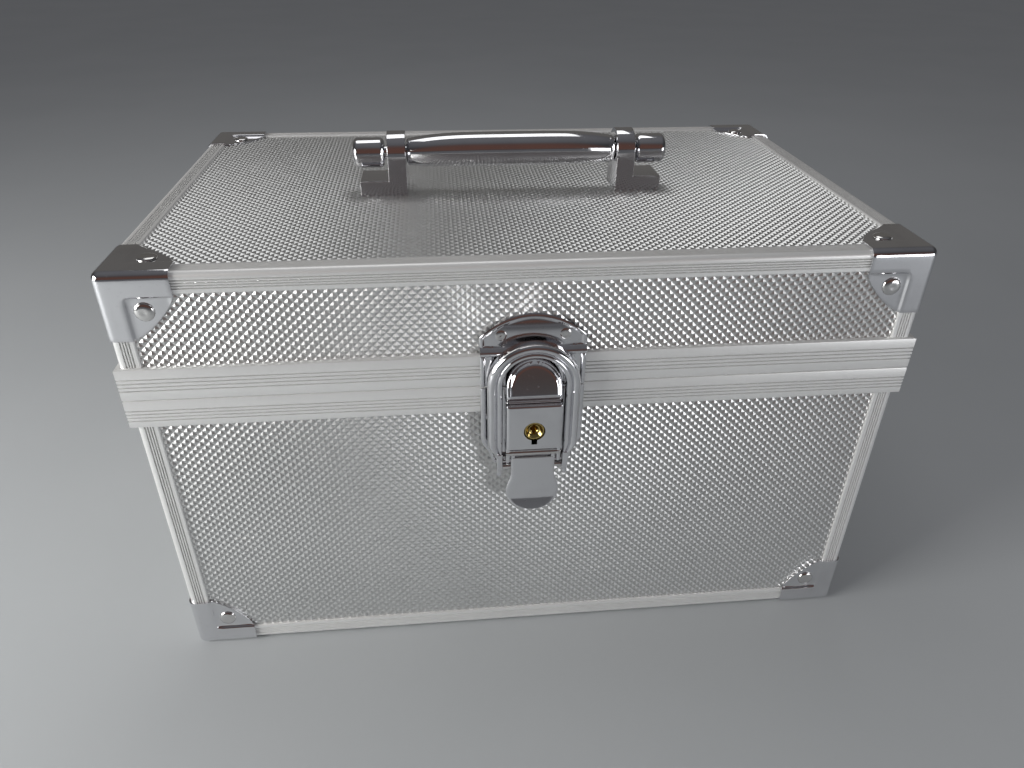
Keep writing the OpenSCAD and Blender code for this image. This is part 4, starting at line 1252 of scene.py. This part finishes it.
# %% Bail: a ribbed arch with narrowing feet
bail_low, bail_high = box_of("latch_bail")
BAIL_INNER = HOUSING_HALF + 1.0
bail_outer = bail_high[0]
bail_z = bail_high[2] - bail_outer
bail_depth = bail_high[1] - bail_low[1]
bail_mid = (BAIL_INNER + bail_outer) / 2
bail_half = (bail_outer - BAIL_INNER) / 2
LEG_LEN = 29.4
FOOT_Z = bail_z - LEG_LEN
FOOT_NARROW = 5.5
pin_low, pin_high = box_of("bail_pin")
bail_pin_y, bail_pin_z = (pin_low[1] + pin_high[1]) / 2, (pin_low[2] + pin_high[2]) / 2


def bead_arc(middle, radius, base, top, start, stop, count=9):
    """A bead of a section, from the angle start to stop in degrees."""
    turns = [math.radians(start + (stop - start) * k / (count - 1)) for k in range(count)]
    return [(middle + radius * math.cos(t), base + (top - base) * math.sin(t)) for t in turns]


BAIL_CUT = 0.5
OUTER_BEAD = 1.55
INNER_BEAD = 1.15
INNER_LOWER = 0.45
bead_base = bail_depth - 1.9
bail_section = [(-bail_half, BAIL_CUT), (-bail_half + BAIL_CUT, 0)]
bail_section += [(bail_half - BAIL_CUT, 0), (bail_half, BAIL_CUT)]
bail_section += bead_arc(bail_half - OUTER_BEAD, OUTER_BEAD, bead_base, bail_depth, 0, 165)
bail_section += bead_arc(-bail_half + INNER_BEAD, INNER_BEAD, bead_base, bail_depth - INNER_LOWER, 20, 180)


def bail_leg(side, z):
    """Section of a leg at the height z, drawn in towards its inner side near the foot."""
    narrow = 1 - 0.5 * smooth_step((FOOT_Z + FOOT_NARROW - z) / FOOT_NARROW)

    def at(u, v):
        across = BAIL_INNER + (u + bail_half) * narrow
        return (side * across, bail_high[1] - v * (0.75 + 0.25 * narrow), z)
    return at


def bail_arch(turn):
    """Section of the arch at an angle."""
    def at(u, v):
        return ((bail_mid + u) * math.cos(turn), bail_high[1] - v, bail_z + (bail_mid + u) * math.sin(turn))
    return at


leg_levels = even(FOOT_Z, FOOT_Z + 9, 10) + even(FOOT_Z + 12, bail_z - 2, 6)
stations = [bail_leg(-1, z) for z in leg_levels]
stations += [bail_arch(math.radians(180 * (1 - k / 40))) for k in range(41)]
stations += [bail_leg(1, z) for z in reversed(leg_levels)]
bail_points, bail_faces = push_outline(bail_section, stations)[:2]
bail = weld(new_mesh_object("latch_bail_ribbed", bail_points, bail_faces))
feet = []
EYE_T = 2.1
TAIL = 4.2
for s in (-1, 1):
    start = s * (BAIL_INNER + EYE_T / 2)
    eye = [(0, -1.05), (1.8, -1.05), (2.1, -0.75), (2.1, 0.75), (1.8, 1.05), (0, 1.05)]
    feet.append(turned("eye", eye, SIDEWAYS, (start, bail_pin_y, bail_pin_z), 28))
    inner, outer = sorted((s * BAIL_INNER, s * (BAIL_INNER + EYE_T)))
    strap = slab("strap", (inner, bail_pin_y - 2.0, bail_pin_z), (outer, bail_pin_y + 1.2, FOOT_Z + 1.5))
    feet.append(round_edges(strap, 0.4, 3))
    tail = slab("tail", (inner, bail_pin_y - 1.2, bail_pin_z - TAIL), (outer, bail_pin_y + 1.2, bail_pin_z))
    feet.append(round_edges(tail, 0.8, 4))
join_into(bail, *feet)
fit(shade(bail, 35), "bail", "chrome", "latch_bail")

# %% Lever: a rolled eye, a flared thumb tab with its tip curled out
lever_low, lever_high = box_of("latch_lever")
pivot_low, pivot_high = box_of("lever_pin")
pivot_y, pivot_z = (pivot_low[1] + pivot_high[1]) / 2, (pivot_low[2] + pivot_high[2]) / 2
TAB_NECK = HOUSING_HALF - 1.9
TAB_FLARE = lever_high[0]
TAB_T = 1.2
TAB_CURL = 4.7
CURL_OUT = 1.6
TAB_ROUND = 2.3
TAB_FLARE_H = 7.5
TAB_END = 7.2
tip_z = lever_low[2]
tab_round_z = tip_z + TAB_END
tab_y = pivot_y - TAB_T / 2 - 0.2


def tab_half(z):
    """Half width of the tab: parallel neck, flare, round end."""
    if z < tab_round_z:
        return TAB_FLARE * max(1 - ((tab_round_z - z) / TAB_END) ** TAB_ROUND, 0) ** (1 / TAB_ROUND)
    return TAB_FLARE - (TAB_FLARE - TAB_NECK) * smooth_step((z - tab_round_z - 0.6) / TAB_FLARE_H)


def tab_point(c, z):
    """A point of the thumb tab: rolled eye above, flat face, curled tip."""
    half = tab_half(z)
    x = c * half
    curl = CURL_OUT * min(max((tip_z + TAB_CURL - z) / TAB_CURL, 0.0), 1.0)
    crown = 0.3 * (x / TAB_FLARE) ** 2 + 0.4 * max(1 - (half - abs(x)) / 0.9, 0.0) ** 2
    recess = 1.5 * smooth_step((z - pivot_z + 2.3) / 0.5)
    roll = 1.4 * bead(z, pivot_z, 0.95)
    return (x, tab_y - curl + recess - roll + crown, z)


tab_rows = [tip_z + TAB_END * (1 - math.cos(math.pi / 2 * t)) for t in even(0, 1, 18)]
tab_rows += even(tab_round_z + 0.8, pivot_z - 2.6, 12) + even(pivot_z - 2.3, pivot_z + 2.3, 27)
tab = weld(relief("latch_lever_pressed", crowded(33), tab_rows, tab_point))
give_thickness(tab, 0.9, bevel=0.2)
ears = []
for s in (-1, 1):
    inner, outer = sorted((s * (TAB_NECK - LATCH_WALL), s * TAB_NECK))
    ear = slab("ear", (inner, pivot_y, bail_pin_z - 2.2), (outer, bail_pin_y + 1.6, bail_pin_z + 2.2))
    ears.append(round_edges(ear, 0.5, 3))
    link = slab("link", (inner, pivot_y - 0.4, bail_pin_z - 1.0), (outer, pivot_y + 1.4, pivot_z + 1.0))
    ears.append(round_edges(link, 0.3))
join_into(tab, *ears)
fit(shade(tab, 40), "lever", "chrome", "latch_lever")
rounded_copy("lever_pin", "base", "rivet_steel", 0.25)
rounded_copy("bail_pin", "lever", "rivet_steel", 0.25)

# %% [markdown]
# ## The handle
# Two chromed posts stand on the lid, and a bowed bar rolls between them on a spindle with a short knob
# outside each post. The bar is a run of circles whose radius swells and whose centre bows, both by a
# smooth formula. The knobs are turned. The posts keep their CAD shape with generous rounded edges.

# %% Posts, bar, knobs
rounded_copy("handle_posts", "lid", "chrome", 1.6, 5)
rounded_copy("handle_screws", "lid", "rivet_steel", 0.25)

knobs_low, knobs_high = box_of("handle_knobs")
KNOB_R = (knobs_high[2] - knobs_low[2]) / 2
bar_y, bar_z = (knobs_low[1] + knobs_high[1]) / 2, (knobs_low[2] + knobs_high[2]) / 2
grip_high = box_of("handle_grip")[1]
GRIP_HALF = grip_high[0]
GRIP_END_R, GRIP_MID_R, GRIP_BOW = 5.0, 6.4, 2.6
BOW_TURN = math.radians(150)
GRIP_SIDES = 40
BAR_END_SOFT = 0.7


def grip_ring(t, shrink=0.0):
    """Circle of the bar at the share t of its half length."""
    radius = GRIP_END_R + (GRIP_MID_R - GRIP_END_R) * (1 - t ** 4) - shrink
    bow = GRIP_BOW * (1 - t ** 4)
    middle_y = bar_y + bow * math.cos(BOW_TURN)
    middle_z = bar_z + bow * math.sin(BOW_TURN)
    turns = [2 * math.pi * k / GRIP_SIDES for k in range(GRIP_SIDES)]
    return [(t * GRIP_HALF, middle_y + radius * math.cos(a), middle_z + radius * math.sin(a)) for a in turns]


rings = []
for t in (math.sin(math.pi / 2 * s) for s in even(-1, 1, 41)):
    end = (1 - abs(t)) * GRIP_HALF
    rings.append(grip_ring(t, round_drop(end, BAR_END_SOFT)))
last = (len(rings) - 1) * GRIP_SIDES
grip_faces = [tuple(range(GRIP_SIDES)), *tube_faces(GRIP_SIDES, len(rings))]
grip_faces.append(tuple(range(last, last + GRIP_SIDES)))
grip = weld(new_mesh_object("handle_grip_turned", [p for ring in rings for p in ring], grip_faces))
fit(shade(grip, 40), "handle", "chrome", "handle_grip")

KNOB_LEN = 12.0
KNOB_SOFT = 2.0
SPINDLE_R = 2.5
knob_start = knobs_high[0] - KNOB_LEN
spindle_top = GRIP_HALF - knob_start
knob_profile = [(0, spindle_top), (SPINDLE_R, spindle_top), (SPINDLE_R, 0.4), (KNOB_R - KNOB_SOFT, 0.0)]
quarter = [(1 - math.sin(math.radians(15 * k)), 1 - math.cos(math.radians(15 * k))) for k in range(7)]
knob_profile += [(KNOB_R - KNOB_SOFT * u, KNOB_SOFT * v) for u, v in quarter]
quarter = [(1 - math.cos(math.radians(15 * k)), 1 - math.sin(math.radians(15 * k))) for k in range(7)]
knob_profile += [(KNOB_R - KNOB_SOFT * u, KNOB_LEN - KNOB_SOFT * v) for u, v in quarter]
knob_profile.append((0, KNOB_LEN))
right = turned("handle_knobs_turned", knob_profile, SIDEWAYS, (knob_start, bar_y, bar_z), 40)
MIRRORED = ((0, 0, -1), (0, 1, 0), (1, 0, 0))
left = turned("knob", knob_profile, MIRRORED, (-knob_start, bar_y, bar_z), 40)
join_into(right, left)
fit(shade(right, 40), "handle", "chrome", "handle_knobs")

# %% [markdown]
# ## Hinges, tray linkage, trays and lining
# These keep their CAD shapes. The trays are injection moulded, so every edge has a small radius. The arms
# and brackets are punched from aluminium strip and tumbled, which also takes the edge off.

# %% Inside and behind
# node, body, slot, radius of the edges
KEPT_SHAPES = (
    ("hinge_lower_leaves", "base", "hinge_steel", 0.25),
    ("hinge_upper_leaves", "lid", "hinge_steel", 0.25),
    ("hinge_pins", "base", "hinge_steel", 0.25),
    ("tray_brackets", "base", "arm_aluminium", 0.2),
    ("lid_tray_brackets", "lid", "arm_aluminium", 0.2),
    ("tray_bracket_rivets", "base", "rivet_steel", 0.15),
    ("lid_bracket_rivets", "lid", "rivet_steel", 0.15),
    ("arm_base_pins", "base", "rivet_steel", 0.3),
    ("lid_tray_pins", "lid", "rivet_steel", 0.3),
    ("front_arms", "front_arms", "arm_aluminium", 0.25),
    ("rear_arms", "rear_arms", "arm_aluminium", 0.25),
)
for kept in KEPT_SHAPES:
    rounded_copy(*kept)
for level in ("upper", "lower"):
    body = f"{level}_tray"
    rounded_copy(body, body, "tray_plastic", 0.5, 3)
    rounded_copy(f"{level}_tray_dividers", body, "divider_plastic", 0.4, 3)
    rounded_copy(f"{level}_tray_pins", body, "rivet_steel", 0.25)
rounded_copy("base_liner", "base", "lining", 0.6, 3)
rounded_copy("lid_liner", "lid", "lining", 0.6, 3)
rounded_copy("base_bottom_panel", "base", "bottom_board", 0.3)

# %% [markdown]
# ## Floor, light and camera
# Metal shows what is around it, so the room matters as much as the lamps: a pale floor that the front
# mirrors, a darker room above it, and a few large soft lamps that draw the bright edges.

# %% Floor
FLOOR_HALF = 9000.0


def studio_floor():
    """A pale, matt floor, a little uneven in tone."""
    floor = Finish("studio_floor")
    cloud = floor.noise(scale=6, detail=3)
    return floor.close(
        Base_Color=floor.mix(cloud, (0.42, 0.44, 0.45), (0.47, 0.485, 0.495)),
        Roughness=0.75,
    )


floor = new_mesh_object("floor", [(-FLOOR_HALF, -FLOOR_HALF, 0), (FLOOR_HALF, -FLOOR_HALF, 0),
                                  (FLOOR_HALF, FLOOR_HALF, 0), (-FLOOR_HALF, FLOOR_HALF, 0)], [(0, 1, 2, 3)])
floor.data.materials.append(studio_floor())
floor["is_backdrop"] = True


# %% Room light
ROOM_STOPS = [(0.0, (0.12, 0.12, 0.13)), (0.10, (0.05, 0.05, 0.05)), (0.45, (0.035, 0.035, 0.037))]
ROOM_STOPS += [(1.0, (0.13, 0.13, 0.14))]
WARM_FRONT = (0.10, 0.052, 0.042)
GREY_BACK = (0.115, 0.11, 0.105)
FILL = (0.20, 0.20, 0.21)
BACKDROP = (0.19, 0.19, 0.195)


def room():
    """A dark room for mirrors, warm in front and grey behind; an even fill; a backdrop for the camera."""
    world = bpy.data.worlds.new("room")
    world.use_nodes = True
    bpy.context.scene.world = world
    tree = NodeTree(world.node_tree)
    way = tree.add("ShaderNodeTexCoord", output="Generated")
    parts = tree.add("ShaderNodeSeparateXYZ", None, {0: way})
    backwards, up = parts.out("Y"), parts.out("Z")
    sky = tree.add("ShaderNodeValToRGB", {"stops": ROOM_STOPS}, {0: up})
    in_front = tree.band(backwards * -1.0, 0.55, 0.9) * tree.band(up, 0.05, 0.2)
    warmed = tree.mix(in_front, sky, WARM_FRONT)
    mirrored = tree.mix(tree.band(backwards, 0.3, 0.7), warmed, GREY_BACK)

    def glow(colour):
        return tree.add("ShaderNodeBackground", None, {"Color": colour, "Strength": 1.0})
    rays = tree.add("ShaderNodeLightPath")
    ways = {0: rays.out("Is Glossy Ray"), 1: glow((*FILL, 1)), 2: glow(mirrored)}
    lit = tree.add("ShaderNodeMixShader", None, ways)
    ways = {0: rays.out("Is Camera Ray"), 1: lit, 2: glow((*BACKDROP, 1))}
    shown = tree.add("ShaderNodeMixShader", None, ways)
    tree.add("ShaderNodeOutputWorld", None, {"Surface": shown})


def lamp(name, place, aim, size, watts, colour):
    """A rectangular soft lamp at a place in mm, turned to its aim."""
    light = bpy.data.lights.new(name, "AREA")
    light.shape = "RECTANGLE"
    light.size, light.size_y = size[0] * MM, size[1] * MM
    light.energy = watts
    light.color = colour
    made = bpy.data.objects.new(name, light)
    made.location = Vector(place) * MM
    made.rotation_euler = (Vector(aim) - Vector(place)).to_track_quat("-Z", "Y").to_euler()
    bpy.context.collection.objects.link(made)
    return made


room()

# %% Lamps: a window on the left that also lights a pool on the floor, a weak one on the right, and one above
MIDDLE = (0, 0, 90)
POOL = (-400, -260, 0)
# name, place, aim, size, watts, colour
LAMPS = (
    ("window", (-820, -330, 300), MIDDLE, (460, 460), 5.2, (1.0, 0.99, 0.97)),
    ("pool", (-520, -300, 300), POOL, (260, 260), 1.1, (1.0, 0.99, 0.96)),
    ("fill", (620, -640, 170), MIDDLE, (420, 260), 1.3, (0.97, 0.98, 1.0)),
    ("ceiling", (-60, 260, 1000), MIDDLE, (700, 420), 1.3, (1, 1, 1)),
)
for one in LAMPS:
    lamp(*one)
print(len(LAMPS), "lamps")

# %% Camera
CAMERA_PLACE = (-30.0, -308.3, 258.0)
CAMERA_TURN = (-5.933, 58.145, 0.603)
LENS = 26.76
lens = bpy.data.cameras.new("camera")
lens.lens = LENS
lens.sensor_width = 36
camera = bpy.data.objects.new("camera", lens)
heading, pitch, roll = (math.radians(v) for v in CAMERA_TURN)
turn = Matrix.Rotation(heading, 4, "Z") @ Matrix.Rotation(pitch, 4, "X") @ Matrix.Rotation(roll, 4, "Z")
camera.matrix_world = Matrix.Translation(Vector(CAMERA_PLACE) * MM) @ turn
bpy.context.collection.objects.link(camera)
bpy.context.scene.camera = camera
bpy.context.scene.view_settings.view_transform = "Standard"

# %% Sizes, and the end
low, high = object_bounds()
print("visual box in mm:", [round(v * 1000, 1) for v in (*low, *high)])
print(len(made_pieces), "pieces")
